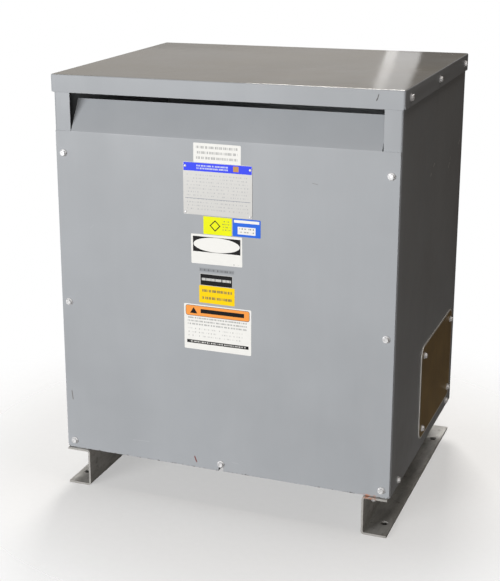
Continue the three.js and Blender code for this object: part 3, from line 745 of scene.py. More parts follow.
def make_labels():
    """The films on the front panel, from the top down. Plain shapes, bars and dashes, no letters."""
    note = label_material("label_note", WHITE, [
        (lambda s: written_lines(s, -0.051, 0.040, (0.8045, 0.7935, 0.7825), 0.0052, 3, 0.46, 0.5), INK),
    ])
    make_label("label_note", -0.057, 0.772, 0.047, 0.813, note, tilt=0.5)

    def small_mark(s):
        """The outline of a diamond."""
        reach = s.plus(s.size(s.plus(s.x, 0.010)), s.size(s.minus(s.z, 0.641)))
        return s.both(s.ramp(reach, 0.0125, 0.0120), s.ramp(reach, 0.0090, 0.0095))

    yellow = label_material("label_yellow", YELLOW, [
        (small_mark, BLACK),
        (lambda s: written_lines(s, 0.006, 0.024, (0.652, 0.646, 0.640, 0.634), 0.0022, 9), INK),
    ])
    make_label("label_yellow", -0.036, 0.622, 0.027, 0.660, yellow)

    blue = label_material("label_blue", BLUE, [
        (lambda s: s.box(0.032, 0.652, 0.087, 0.658), WHITE),
        (lambda s: s.box(0.040, 0.628, 0.079, 0.644), WHITE),
        (lambda s: written_lines(s, 0.043, 0.076, (0.640, 0.633), 0.0028, 21), INK),
    ])
    make_label("label_blue", 0.029, 0.623, 0.090, 0.661, blue)

    def badge(s):
        """An ellipse."""
        u = s.math("POWER", s.size(s.math("DIVIDE", s.plus(s.x, 0.007), 0.0515)), 2.0)
        rise = s.math("DIVIDE", s.minus(s.z, 0.5995), 0.0158)
        v = s.math("POWER", s.size(rise), 2.0)
        return s.ramp(s.plus(u, v), 1.03, 0.97)

    badge_label = label_material("label_badge", WHITE, [
        (lambda s: s.box(-0.060, 0.583, 0.046, 0.616), BLACK),
        (badge, WHITE),
        (lambda s: written_lines(s, 0.030, 0.046, (0.5612,), 0.0016, 33, 0.50), INK),
    ])
    make_label("label_badge", -0.064, 0.557, 0.050, 0.621, badge_label, tilt=-0.4)

    strip = label_material("label_strip", srgb(150, 154, 158), [
        (lambda s: written_lines(s, -0.044, 0.030, (0.544,), 0.0042, 41), INK),
    ])
    make_label("label_strip", -0.046, 0.540, 0.032, 0.548, strip, radius=1 * MM)

    black = label_material("label_black", srgb(196, 197, 196), [
        (lambda s: s.box(-0.0437, 0.5107, 0.0277, 0.5347), BLACK),
        (lambda s: written_lines(s, -0.041, 0.025, (0.5235,), 0.0054, 47, 0.40, 0.9),
         srgb(205, 206, 204)),
    ])
    make_label("label_black", -0.045, 0.510, 0.029, 0.536, black)

    amber = label_material("label_amber", AMBER, [
        (lambda s: written_lines(s, -0.041, 0.027, (0.4985, 0.4825), 0.0058, 55, 0.44), INK),
    ])
    make_label("label_amber", -0.047, 0.471, 0.033, 0.5095, amber, tilt=0.3)

    def triangle(s):
        """A plain solid triangle, point up."""
        rise = s.minus(s.z, 0.4455)
        half = s.times(s.minus(0.0135, rise), 0.62)
        inside = s.ramp(s.minus(half, s.size(s.plus(s.x, 0.060))),
                        -0.0002, 0.0002)
        return s.both(inside, s.between(s.z, 0.4455, 0.4590))

    def header(s):
        return s.rounded_box(-0.0775, 0.4410, 0.0655, 0.4625, 0.004)

    def header_rim(s):
        return s.rounded_box(-0.0785, 0.4400, 0.0665, 0.4635, 0.005)

    safety = label_material("label_safety", WHITE, [
        (header_rim, INK),
        (header, ORANGE),
        (triangle, BLACK),
        (lambda s: s.box(-0.044, 0.4475, 0.054, 0.4565), BLACK),
        (lambda s: written_lines(s, -0.074, 0.060, (0.4355, 0.4285, 0.4215), 0.0034, 61, 0.44, 0.5), INK),
        (lambda s: written_lines(s, -0.074, 0.050, (0.4115, 0.4035, 0.3955), 0.0030, 71, 0.50, 0.4), INK),
        (lambda s: s.box(-0.076, 0.3785, 0.064, 0.3855), BLACK),
        (lambda s: written_lines(s, -0.070, 0.058, (0.382,), 0.0028, 83, 0.46), WHITE),
    ])
    make_label("label_safety", -0.082, 0.365, 0.070, 0.466, safety, radius=2.5 * MM)


def nameplate_metal():
    """Satin aluminium with a printed blue band and rows of dashes."""
    surface = Surface("nameplate_metal", metallic=0.2)
    brushed = surface.noise(900, 3, 0.6, surface.scaled(0.03, 1, 1))
    color = surface.mix(brushed, srgb(190, 190, 188), srgb(206, 205, 202))
    band_low = PLATE_HIGH.z - 0.0185
    edge = 0.004
    band = surface.box(PLATE_LOW.x + 0.001, band_low, PLATE_HIGH.x - 0.001, PLATE_HIGH.z - 0.001)
    rows = [band_low - 0.008 - 0.0072 * i for i in range(11)]
    lines = written_lines(surface, PLATE_LOW.x + 2 * edge, PLATE_HIGH.x - 2 * edge, rows, 0.0026, 91, 0.5)
    color = surface.tint(lines, 0.45, color, srgb(96, 104, 122))
    rule = surface.box(PLATE_LOW.x + edge, PLATE_LOW.z + 0.0345, PLATE_HIGH.x - edge, PLATE_LOW.z + 0.0352)
    color = surface.mix(rule, color, srgb(88, 98, 124))
    color = surface.mix(band, color, srgb(22, 50, 222))
    title = written_lines(surface, -0.050, 0.020, (band_low + 0.0115, band_low + 0.0060),
                          0.0034, 97, 0.42)
    color = surface.mix(title, color, srgb(196, 202, 214))
    square = surface.box(0.0305, band_low + 0.0035, 0.0425, band_low + 0.0150)
    color = surface.mix(square, color, srgb(178, 128, 66))
    return surface.finish(color, surface.span(brushed, 0.34, 0.50), surface.bump(brushed, 0.00005, 0.4))


# ------------------------------------------------------------------ fasteners

SCREW_LENGTH = 12 * MM
HEAD_HEIGHT = 6 * MM
WASHER_RADIUS = 8 * MM
HEX_RADIUS = 6.2 * MM
BASE_SCREW = Vector((0, 238 * MM, middle("front_screw_7").z))


def thread_profile(radius, depth, start, end, pitch):
    """A turned outline of fine grooves, from start down to end."""
    turns = max(1, round((start - end) / pitch))
    profile = []
    for i in range(turns):
        top = start - (start - end) * i / turns
        profile.append((radius, top))
        profile.append((radius - depth, top - pitch / 2))
    return profile


def add_hex(bm, radius, low, high, chamfer, dish=0.0):
    """A hex head with its corners turned down. A dish above 0 hollows its top."""
    steps = 48
    rings = []
    levels = [(low, None), (high - chamfer, None), (high, radius * 0.86)]
    for z, limit in levels:
        ring = []
        for i in range(steps):
            angle = 2 * math.pi * i / steps
            local = (angle + math.pi / 6) % (math.pi / 3) - math.pi / 6
            reach = radius * math.cos(math.pi / 6) / math.cos(local)
            if limit is not None:
                reach = min(reach, limit)
            ring.append(bm.verts.new((reach * math.cos(angle), reach * math.sin(angle), z)))
        rings.append(ring)
    rim = [bm.verts.new((v.co.x * 0.62, v.co.y * 0.62, high)) for v in rings[-1]]
    rings.append(rim)
    if dish:
        rings.append([bm.verts.new((v.co.x * 0.5, v.co.y * 0.5, high - dish)) for v in rings[-2]])
    add_skin(bm, rings)
    bm.faces.new(rings[0])
    bm.faces.new(rings[-1])


def add_washer_head(bm, washer, thickness, hexagon, top, chamfer=0.7 * MM):
    """A flat washer from the origin up, with a hex head on it."""
    add_turned(bm, [(0.0, 0.0), (washer, 0.0), (washer, thickness), (0.0, thickness)], 32)
    add_hex(bm, hexagon, thickness, top, chamfer)


def make_bolt_head(name, place, material, *sizes):
    """A washer and hex head at a place, which is a matrix, on the enclosure."""
    bolt = build(name, lambda bm: add_washer_head(bm, *sizes))
    bolt.data.transform(place)
    return finish_piece(bolt, "enclosure", material, "zinc")


def screw_mesh():
    """Hex washer-head screw along +Z, the underside of its head at the origin."""
    bm = bmesh.new()
    shank = 3 * MM
    profile = [(0.0, 1.9 * MM), (6.6 * MM, 1.9 * MM), (WASHER_RADIUS - 0.4 * MM, 1.2 * MM)]
    profile += [(WASHER_RADIUS, 0.8 * MM), (WASHER_RADIUS - 0.2 * MM, 0.1 * MM), (shank, 0.0)]
    profile += thread_profile(shank, 0.5 * MM, -0.6 * MM, -SCREW_LENGTH + 2.5 * MM, 1.1 * MM)
    profile += [(0.0, -SCREW_LENGTH)]
    add_turned(bm, profile, 32)
    add_hex(bm, HEX_RADIUS, 1.6 * MM, HEAD_HEIGHT, 0.6 * MM, 0.7 * MM)
    bmesh.ops.recalc_face_normals(bm, faces=bm.faces)
    mesh = bpy.data.meshes.new("hex_screw")
    bm.to_mesh(mesh)
    bm.free()
    return shade(mesh)


def facing(direction):
    """The rotation that turns +Z towards a direction."""
    return Vector(direction).to_track_quat("Z", "Y").to_matrix().to_4x4()


def drive_screw(name, body, place, direction, spin, material, *nodes):
    """A copy of the screw, seated at a place and turned by a spin in degrees."""
    mesh = SCREW.copy()
    turn = Matrix.Rotation(math.radians(spin), 4, "Z")
    mesh.transform(Matrix.Translation(place) @ facing(direction) @ turn)
    screw = link_mesh(name, mesh)
    return finish_piece(screw, body, material, "zinc", *nodes)


def seat_of(node, axis, side):
    """Where the underside of a CAD screw's head sits, from its box."""
    low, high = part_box(node)
    place = (low + high) / 2
    outer = high[axis] if side > 0 else low[axis]
    place[axis] = outer - side * HEAD_HEIGHT
    return place


def make_screws(material):
    """Every screw of the enclosure, each turned differently."""
    spins = random.Random(11)
    for i in range(1, 8):
        node = f"front_screw_{i}"
        place = seat_of(node, 1, -1)
        drive_screw(node + "_head", "front_cover", place, (0, -1, 0), spins.uniform(0, 60), material, node)
        rear = Vector((place.x, -place.y - 0.3 * MM, place.z))
        drive_screw(f"rear_screw_{i}", "rear_cover", rear, (0, 1, 0), spins.uniform(0, 60), material)
    for side_name, side in SIDES:
        for i in (1, 2, 3):
            node = f"lid_screw_{side_name}_{i}"
            place = seat_of(node, 0, side)
            drive_screw(node + "_head", "lid", place, (side, 0, 0), spins.uniform(0, 60), material, node)
        for end_name, end in ENDS:
            place = Vector((side * (SIDE_HIGH.x + 0.3 * MM), end * BASE_SCREW.y, BASE_SCREW.z))
            name = f"base_screw_{end_name}_{side_name}"
            drive_screw(name, "enclosure", place, (side, 0, 0), spins.uniform(0, 60), material)
    for i in (1, 2, 3, 4):
        node = f"access_screw_{i}"
        place = seat_of(node, 0, 1)
        drive_screw(node + "_head", "side_access", place, (1, 0, 0), spins.uniform(0, 60), material, node)


def make_foot_bolts(material):
    """Foot bolts: hex head on the sill, threaded tail with a washer and nut under the flange."""
    for side_name, _ in SIDES:
        for end_name, _ in ENDS:
            node = f"foot_bolt_{end_name}_{side_name}"
            low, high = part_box(node)
            centre = (low + high) / 2
            flange = FOOT_HIGH.z - FOOT_SHEET
            bm = bmesh.new()
            shank = 4.8 * MM
            profile = [(0.0, high.z - 1 * MM), (shank, high.z - 1 * MM)]
            profile += thread_profile(shank, 0.6 * MM, flange, low.z + 1.5 * MM, 1.5 * MM)
            profile += [(0.0, low.z)]
            add_turned(bm, profile, 24)
            add_hex(bm, 9.2 * MM, high.z - 6 * MM, high.z, 0.8 * MM)
            add_turned(bm, [(0.0, flange - 2 * MM), (9.4 * MM, flange - 2 * MM),
                            (9.4 * MM, flange - 0.3 * MM), (0.0, flange - 0.3 * MM)], 32)
            add_hex(bm, 9 * MM, flange - 10 * MM, flange - 2.1 * MM, 0.8 * MM)
            bolt = finish_mesh(node + "_and_nut", bm)
            bolt.data.transform(Matrix.Translation((centre.x, centre.y, 0)))
            finish_piece(bolt, "enclosure", material, "zinc", node)


# ------------------------------------------------------------------ enclosure

def make_lid(material):
    """A folded lid: flat top, four turned-down flanges, edges rounded by the press."""
    def shell(bm):
        radius = 3 * MM
        corner = 5 * MM
        size = (LID_HIGH - LID_LOW) / 2

        def outline_at(offset):
            grown = max(corner + offset, 0.6 * MM)
            return rounded(-size.x - offset, -size.y - offset, size.x + offset, size.y + offset, grown)

        edge = [(-radius + radius * math.cos(a), LID_HIGH.z - radius + radius * math.sin(a))
                for a in [math.radians(15 * i) for i in range(7)]]
        inner = radius - SHEET
        fold = [(-radius + inner * math.cos(a), LID_HIGH.z - radius + inner * math.sin(a))
                for a in [math.radians(90 - 15 * i) for i in range(7)]]
        hem = 0.4 * MM
        outer_wall = [(-hem, LID_LOW.z), (0.0, LID_LOW.z + hem)]
        inner_wall = [(-SHEET, LID_LOW.z + hem), (-SHEET + hem, LID_LOW.z)]
        loops = []
        for offset, z in outer_wall + edge:
            loops.append([bm.verts.new((x, y, z)) for x, y in outline_at(offset)])
        top = loops[-1]
        under = []
        for offset, z in fold + inner_wall:
            under.append([bm.verts.new((x, y, z)) for x, y in outline_at(offset)])
        add_skin(bm, loops)
        add_skin(bm, under)
        add_skin(bm, [under[-1], loops[0]])
        bm.faces.new(top)
        bm.faces.new(under[0])

    def corner_wedges(axis, u, w):
        """Cutters that leave each flange across an axis with round lower corners."""
        reach = 8 * MM
        past = 1 * MM
        centre = LID_LOW.z + reach

        def add_wedges(bm):
            for u_side in (-1, 1):
                for w_side in (-1, 1):
                    below = LID_LOW.z - past
                    outline = arc(u - reach, centre, reach, 0, -90, 8)
                    outline += [(u - reach, below), (u + past, below), (u + past, centre)]
                    outline = [(u_side * a, b) for a, b in outline]
                    add_prism(bm, axis, outline, w_side * (w - SHEET - past), w_side * (w + past))

        return add_wedges

    lid = build("lid_shell", shell)
    cut(lid, corner_wedges("y", LID_HIGH.x, LID_HIGH.y))
    cut(lid, corner_wedges("x", LID_HIGH.y, LID_HIGH.x))

    def screw_holes(bm):
        for side_name, side in SIDES:
            for i in (1, 2, 3):
                centre = middle(f"lid_screw_{side_name}_{i}")
                wall = side * LID_HIGH.x
                add_hole(bm, "x", wall, centre.y, centre.z)

    cut(lid, screw_holes)
    finish_piece(lid, "lid", material, "lid_paint", "top_cover")


def make_side_panel(side_name, side, material):
    """A side panel: flat wall, returns that form the posts, inward bottom flange, punched holes."""
    node = f"side_panel_{side_name}"
    post = middle("front_panel").x + POST_START
    path = on_side([(post, SIDE_LOW.y), (SIDE_HIGH.x, SIDE_LOW.y),
                    (SIDE_HIGH.x, SIDE_HIGH.y), (post, SIDE_HIGH.y)], side)
    section = bent_sheet(path, SHEET, SIDE_BEND)
    panel = build(node + "_sheet", lambda bm: add_prism(bm, "z", section, SIDE_LOW.z, SIDE_HIGH.z))
    inner, outer = side * SIDE_LOW.x, side * (SIDE_HIGH.x - SHEET / 2)
    flange = build("flange", lambda bm: add_box(
        bm, (min(inner, outer), -SIDE_FLANGE_HALF_LENGTH, SIDE_LOW.z),
        (max(inner, outer), SIDE_FLANGE_HALF_LENGTH, SIDE_LOW.z + SHEET)))
    combine(panel, flange, "UNION")
    wall = side * SIDE_HIGH.x
    hole = SCREW_HOLE

    def holes(bm):
        for _, end in ENDS:
            for i in (1, 3, 5):
                z = middle(f"front_screw_{i}").z
                x = side * abs(middle("front_screw_1").x)
                y = end * SIDE_HIGH.y
                add_hole(bm, "y", y, x, z)
        places = [(-BASE_SCREW.y, BASE_SCREW.z), (BASE_SCREW.y, BASE_SCREW.z)]
        for y, z in places + (access_places() if side > 0 else []):
            add_hole(bm, "x", wall, y, z)
        for i in (1, 2, 3):
            centre = middle(f"lid_screw_{side_name}_{i}")
            top = SIDE_HIGH.z + 2 * MM
            keyhole = [(centre.y + hole, top), (centre.y - hole, top)]
            keyhole += arc(centre.y, centre.z, hole, 180, 360, 16)
            add_prism(bm, "x", keyhole, wall - THROUGH, wall + THROUGH)

    cut(panel, holes)
    if side > 0:
        low_y, high_y = COVER_LOW.y + CABLE_HOLE_INSET, COVER_HIGH.y - CABLE_HOLE_INSET
        opening = rounded(low_y, CABLE_HOLE[0], high_y, CABLE_HOLE[1], 12 * MM)
        cut(panel, lambda bm: add_prism(bm, "x", opening, wall - THROUGH, wall + THROUGH))
    soften(panel, 0.35 * MM)
    finish_piece(panel, "enclosure", material, "grey_paint", node)


def make_panel(name, front_material, body, node):
    """A removable panel: flat sheet, clipped corners, a slot at the bottom and a turned-in flap."""
    shoulder = SHOULDER
    bottom = PANEL_LOW.z
    clip = PANEL_CLIP
    flap_half = FLAP_HALF_WIDTH
    right = PANEL_HIGH.x
    outline = [(-right + clip, bottom), (-PANEL_SLOT, bottom)]
    screw_z = middle("front_screw_7").z
    outline += [(-PANEL_SLOT, screw_z)] + arc(0, screw_z, PANEL_SLOT, 180, 0, 12)[1:-1]
    outline += [(PANEL_SLOT, screw_z), (PANEL_SLOT, bottom), (right - clip, bottom)]
    outline += [(right, bottom + clip), (right, shoulder), (flap_half, shoulder)]
    outline += [(flap_half, shoulder - 4 * MM), (-flap_half, shoulder - 4 * MM)]
    outline += [(-flap_half, shoulder), (-right, shoulder), (-right, bottom + clip)]
    panel = build(name, lambda bm: add_prism(bm, "y", outline, FACE, FACE + SHEET))
    path = [(-FLAP_DEPTH, FLAP_TOP), (FACE, shoulder), (FACE, shoulder - 4.2 * MM)]
    section = bent_sheet(path, SHEET, 2.6 * MM)
    flap = build("flap", lambda bm: add_prism(bm, "x", section, -flap_half, flap_half))
    combine(panel, flap, "UNION")

    def holes(bm):
        for i in range(1, 7):
            centre = middle(f"front_screw_{i}")
            add_hole(bm, "y", FACE, centre.x, centre.z)

    cut(panel, holes)
    soften(panel, 0.35 * MM)
    if body == "rear_cover":
        turn_round(panel)
    finish_piece(panel, body, front_material, "grey_paint", node)


def make_sill(end_name, material):
    """A base sill: upright web with end tabs, and a ledge that the foot bolts hold."""
    node = f"base_sill_{end_name}"
    thickness = SILL_SHEET
    path = [(SILL_LOW.x, SILL_HIGH.y), (SILL_LOW.x, SILL_LOW.y),
            (SILL_HIGH.x, SILL_LOW.y), (SILL_HIGH.x, SILL_HIGH.y)]
    section = bent_sheet(path, thickness, 5 * MM)
    sill = build(node + "_folded", lambda bm: add_prism(bm, "z", section, SILL_LOW.z, SILL_HIGH.z))
    depth = SILL_LOW.y + SILL_LEDGE
    ledge = build("ledge", lambda bm: add_box(
        bm, (SILL_LOW.x + 5 * MM, SILL_LOW.y + thickness / 2, SILL_LOW.z),
        (SILL_HIGH.x - 5 * MM, depth, SILL_LOW.z + thickness)))
    combine(sill, ledge, "UNION")

    def openings(bm):
        low = (-PANEL_SLOT, SILL_LOW.y - 1 * MM, SILL_LOW.z - 1 * MM)
        add_box(bm, low, (PANEL_SLOT, depth + 1 * MM, SILL_LOW.z + 8 * MM))
        for i in (5, 6, 7):
            centre = middle(f"front_screw_{i}")
            add_hole(bm, "y", SILL_LOW.y, centre.x, centre.z)
        for _, side in SIDES:
            x = side * SILL_HIGH.x
            add_hole(bm, "x", x, -BASE_SCREW.y, BASE_SCREW.z)
            bolt = middle("foot_bolt_front_right")
            add_bar(bm, "z", BOLT_HOLE, SILL_LOW.z - 1 * MM, SILL_LOW.z + 5 * MM, side * bolt.x, bolt.y, 24)

    cut(sill, openings)
    soften(sill, 0.4 * MM)
    if end_name == "rear":
        turn_round(sill)
    finish_piece(sill, "enclosure", material, "sill_steel", node)


def make_foot(side_name, side, material):
    """A foot: a channel that opens outwards, with an anchor slot near each end."""
    node = f"mounting_foot_{side_name}"
    web, tip, top = FOOT_LOW.x, FOOT_HIGH.x, FOOT_HIGH.z
    path = on_side([(tip, top), (web, top), (web, 0.0), (tip, 0.0)], side)
    section = bent_sheet(path, FOOT_SHEET, FOOT_BEND)
    foot = build(node + "_channel", lambda bm: add_prism(bm, "y", section, FOOT_LOW.y, FOOT_HIGH.y))

    def slots(bm):
        centre = side * ANCHOR_SLOT_X
        for y in ANCHOR_SLOT_ROWS:
            outline = rounded(centre - 7 * MM, y - 8.5 * MM, centre + 7 * MM, y + 8.5 * MM, 6.9 * MM, 10)
            add_prism(bm, "z", outline, -1 * MM, 6 * MM)
        for end_name, _ in ENDS:
            bolt = middle(f"foot_bolt_{end_name}_{side_name}")
            add_bar(bm, "z", BOLT_HOLE, top - 10 * MM, top + 1 * MM, bolt.x, bolt.y, 24)

    cut(foot, slots)
    soften(foot, 0.7 * MM, 3)
    finish_piece(foot, "enclosure", material, "foot_steel", node)


def access_places():
    """Where the access cover's screws are, as (y, z)."""
    centres = [middle(f"access_screw_{i}") for i in (1, 2, 3, 4)]
    return [(centre.y, centre.z) for centre in centres]


def make_access_cover(material):
    outline = rounded(COVER_LOW.y, COVER_LOW.z, COVER_HIGH.y, COVER_HIGH.z, COVER_CORNER, 14)
    cover = build("access_cover_plate", lambda bm: add_prism(
        bm, "x", outline, COVER_LOW.x, COVER_HIGH.x))
    cut(cover, lambda bm: [add_bar(bm, "x", SCREW_HOLE, COVER_LOW.x - 1 * MM, COVER_HIGH.x + 1 * MM,
                                   y, z, 24) for y, z in access_places()])
    soften(cover, 0.45 * MM)
    finish_piece(cover, "side_access", material, "cover_sheet", "access_cover")


def make_nameplate(material, rivet_material):
    outline = rounded(PLATE_LOW.x, PLATE_LOW.z, PLATE_HIGH.x, PLATE_HIGH.z, 2 * MM)
    plate = build("nameplate_sheet", lambda bm: add_prism(bm, "y", outline, PLATE_LOW.y, FACE - 0.05 * MM))
    soften(plate, 0.2 * MM)
    finish_piece(plate, "front_cover", material, "plate_metal", "nameplate")
    inset = 4.5 * MM
    for i, x in enumerate((PLATE_LOW.x + inset, PLATE_HIGH.x - inset)):
        for j, z in enumerate((PLATE_LOW.z + inset, PLATE_HIGH.z - 9 * MM)):
            dome = [(2.8 * MM * math.cos(a), PLATE_LOW.y - 1.4 * MM * math.sin(a))
                    for a in [math.radians(15 * k) for k in range(7)]]
            dome[-1] = (0.0, dome[-1][1])
            profile = [(0.0, PLATE_LOW.y + 0.2 * MM), (2.8 * MM, PLATE_LOW.y + 0.2 * MM)] + dome
            rivet = build(f"nameplate_rivet_{2 * i + j + 1}",
                          lambda bm: add_turned(bm, profile, 24, "y", x, z))
            finish_piece(rivet, "front_cover", rivet_material, "plate_metal")


# ------------------------------------------------------------------ core and windings

def add_laminations(bm, low, high, seed, count=24):
    """A stack of plates along Y, each shifted a hair from its neighbours."""
    shift = random.Random(seed)
    pitch = (high.y - low.y) / count
    gap = 0.12 * MM
    slack = 0.35 * MM
    for i in range(count):
        inset = Vector((shift.uniform(0, slack), 0, shift.uniform(0, slack)))
        a = Vector((low.x, low.y + i * pitch + gap, low.z)) + inset
        b = Vector((high.x, low.y + (i + 1) * pitch - gap, high.z)) - inset
        add_box(bm, a, b)


def make_core(material):
    nodes = ["core_yoke_bottom", "core_yoke_top"] + [f"core_leg_{phase}" for phase in PHASES]
    for seed, node in enumerate(nodes):
        low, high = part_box(node)
        stack = build(node + "_laminations", lambda bm: add_laminations(bm, low, high, seed))
        finish_piece(stack, "enclosure", material, "core_steel", node)


def ring_outline(low, high, corner):
    """Outlines of a winding: its box in plan grown by an offset."""
    def outline_at(offset):
        radius = max(corner + offset, 3 * MM)
        return rounded(low.x - offset, low.y - offset, high.x + offset, high.y + offset, radius, 8)
    return outline_at


def make_high_winding(phase, material, stick_material):
    """Outer winding: rows of wire under varnish, between smooth end collars."""
    node = f"high_voltage_winding_{phase}"
    low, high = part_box(node)
    build_up = 22 * MM
    collar = 16 * MM
    pitch = 4.6 * MM
    turns = round((high.z - low.z - 2 * collar) / pitch)
    profile = [(-build_up, low.z), (-0.8 * MM, low.z), (-0.3 * MM, low.z + 1 * MM)]
    profile += [(-0.3 * MM, low.z + collar - 1 * MM), (-1.6 * MM, low.z + collar)]
    start = low.z + collar
    step = (high.z - low.z - 2 * collar) / turns
    for i in range(turns):
        z = start + i * step
        profile += [(-1.5 * MM, z + 0.08 * step), (-0.35 * MM, z + 0.3 * step)]
        profile += [(0.0, z + 0.5 * step), (-0.35 * MM, z + 0.7 * step), (-1.5 * MM, z + 0.92 * step)]
    profile += [(-1.6 * MM, high.z - collar), (-0.3 * MM, high.z - collar + 1 * MM)]
    profile += [(-0.3 * MM, high.z - 1 * MM), (-0.8 * MM, high.z), (-build_up, high.z)]
    outline_at = ring_outline(low, high, 32 * MM)
    winding = build(node + "_turns", lambda bm: add_swept_ring(bm, profile, outline_at), smooth=50)
    finish_piece(winding, "enclosure", material, "high_varnish", node)

    def sticks(bm):
        """Spacers that keep the cooling duct open between the two windings."""
        inner = outline_at(-build_up - 5 * MM)
        half = 3.5 * MM
        for x, y in inner[::3]:
            add_box(bm, (x - half, y - half, low.z - 3 * MM), (x + half, y + half, high.z + 4 * MM))

    spacer = build(f"duct_spacers_{phase}", sticks)
    finish_piece(spacer, "enclosure", stick_material, "low_varnish")


def make_low_winding(phase, material):
    """Inner winding: sheet wound with paper that stands a little past the metal at each end."""
    node = f"low_voltage_winding_{phase}"
    low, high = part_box(node)
    outline_at = ring_outline(low, high, 14 * MM)
    layers = 6
    build_up = 18 * MM
    pitch = build_up / layers
    recess = 5 * MM
    profile = [(-build_up, low.z)]
    for i in range(layers):
        inner = -build_up + i * pitch
        profile += [(inner + 0.3 * pitch, low.z), (inner + 0.35 * pitch, low.z + recess)]
        profile += [(inner + 0.95 * pitch, low.z + recess), (inner + pitch, low.z)]
    for i in reversed(range(layers)):
        inner = -build_up + i * pitch
        profile += [(inner + pitch, high.z), (inner + 0.95 * pitch, high.z - recess)]
        profile += [(inner + 0.35 * pitch, high.z - recess), (inner + 0.3 * pitch, high.z)]
    profile += [(-build_up, high.z)]
    winding = build(node + "_layers", lambda bm: add_swept_ring(bm, profile, outline_at), smooth=30)
    finish_piece(winding, "enclosure", material, "low_varnish", node)


def make_clamps(material, bolt_material):
    """Four channels that squeeze the yokes, with their bolts."""
    for level in ("bottom", "top"):
        low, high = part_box(f"core_clamp_{level}_front")
        path = [(low.y, low.z), (high.y, low.z), (high.y, high.z), (low.y, high.z)]
        section = bent_sheet(path, 5 * MM, 7 * MM)
        for end_name, end in ENDS:
            node = f"core_clamp_{level}_{end_name}"
            clamp = build(node + "_channel", lambda bm: add_prism(bm, "x", section, low.x, high.x))
            soften(clamp, 0.6 * MM, 2)
            if end > 0:
                turn_round(clamp)
            finish_piece(clamp, "enclosure", material, "clamp_paint", node)
            for i in range(4):
                x = (i - 1.5) * 150 * MM
                z = (low.z + high.z) / 2
                seat = high.y - 5 * MM
                place = Matrix.Translation((x, seat, z)) @ facing((0, -1, 0))
                place = place @ Matrix.Rotation(math.radians(17 * i + 5), 4, "Z")
                if end > 0:
                    place = HALF_TURN @ place
                make_bolt_head(f"clamp_bolt_{level}_{end_name}_{i + 1}", place, bolt_material,
                               12 * MM, 2 * MM, 9.2 * MM, 9 * MM, 0.8 * MM)


def make_tie_rods(material):
    """Threaded rods between the bottom and top clamps, standing in the gaps between windings."""
    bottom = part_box("core_clamp_bottom_front")[1].z
    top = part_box("core_clamp_top_front")[0].z
    clamp_thickness = 5 * MM
    for side_name, side in SIDES:
        for end_name, end in ENDS:
            bm = bmesh.new()
            low, high = bottom - clamp_thickness - 16 * MM, top + clamp_thickness + 16 * MM
            profile = [(0.0, high)] + thread_profile(5 * MM, 0.5 * MM, high, low, 2.5 * MM) + [(0.0, low)]
            add_turned(bm, profile, 20)
            nuts = (bottom, bottom - clamp_thickness - 9 * MM, top - 9 * MM, top + clamp_thickness)
            for z in nuts:
                add_hex(bm, 9 * MM, z + 0.3 * MM, z + 8.5 * MM, 0.7 * MM)
            rod = finish_mesh(f"tie_rod_{end_name}_{side_name}", bm)
            rod.data.transform(Matrix.Translation((side * 110 * MM, end * 74 * MM, 0)))
            finish_piece(rod, "enclosure", material, "zinc")


def make_pads(material, bolt_material):
    """Isolation pads: ribbed rubber blocks held by one bolt each."""
    for side_name, _ in SIDES:
        for end_name, _ in ENDS:
            node = f"isolation_pad_{end_name}_{side_name}"
            low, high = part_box(node)
            outline_at = ring_outline(low, high, 6 * MM)
            ribs = 4
            step = (high.z - low.z) / ribs
            bm = bmesh.new()
            loops = []
            for i in range(ribs):
                z = low.z + i * step
                for share, offset in ((0.04, -1.6), (0.25, -0.2), (0.75, -0.2), (0.96, -1.6)):
                    loops.append([bm.verts.new((x, y, z + share * step))
                                  for x, y in outline_at(offset * MM)])
            loops.insert(0, [bm.verts.new((x, y, low.z)) for x, y in outline_at(-1.6 * MM)])
            loops.append([bm.verts.new((x, y, high.z)) for x, y in outline_at(-1.6 * MM)])
            add_skin(bm, loops)
            bm.faces.new(loops[0])
            bm.faces.new(loops[-1])
            pad = finish_mesh(node + "_rubber", bm, 50)
            finish_piece(pad, "enclosure", material, "rubber", node)
            centre = (low + high) / 2
            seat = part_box("core_clamp_bottom_front")[0].z + 5 * MM
            place = Matrix.Translation((centre.x, centre.y, seat))
            make_bolt_head(f"pad_bolt_{end_name}_{side_name}", place, bolt_material,
                           11 * MM, 1.8 * MM, 8.5 * MM, 8 * MM)


# ------------------------------------------------------------------ terminals

BAR_BOLT = (10 * MM, 2 * MM, 8 * MM, 8.5 * MM)  # washer radius and thickness, hex radius, top


def make_bus_bars(material, bolt_material, lug_material):
    """Low-voltage bars with bolts, and a set-screw lug on each."""
    for phase in PHASES:
        node = f"low_voltage_bus_{phase}"
        low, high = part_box(node)
        path = [(low.y, high.z), (low.y, low.z), (high.y, low.z)]
        section = bent_sheet(path, 4 * MM, 6 * MM)
        bar = build(node + "_bar", lambda bm: add_prism(bm, "x", section, low.x, high.x))
        centre = (low + high) / 2
        holes = [low.z + share * (high.z - low.z) for share in (0.55, 0.82)]

        def bores(bm):
            for z in holes:
                add_bar(bm, "y", 5.5 * MM, low.y - 5 * MM, low.y + 10 * MM, centre.x, z, 24)

        cut(bar, bores)
        soften(bar, 0.4 * MM)
        finish_piece(bar, "enclosure", material, "bus_metal", node)
        face = low.y
        place = Matrix.Translation((centre.x, face, holes[0])) @ facing((0, -1, 0))
        make_bolt_head(f"bus_bolt_{phase}", place, bolt_material, *BAR_BOLT)
        make_lug(f"terminal_lug_{phase}", centre.x, face, holes[1], lug_material)


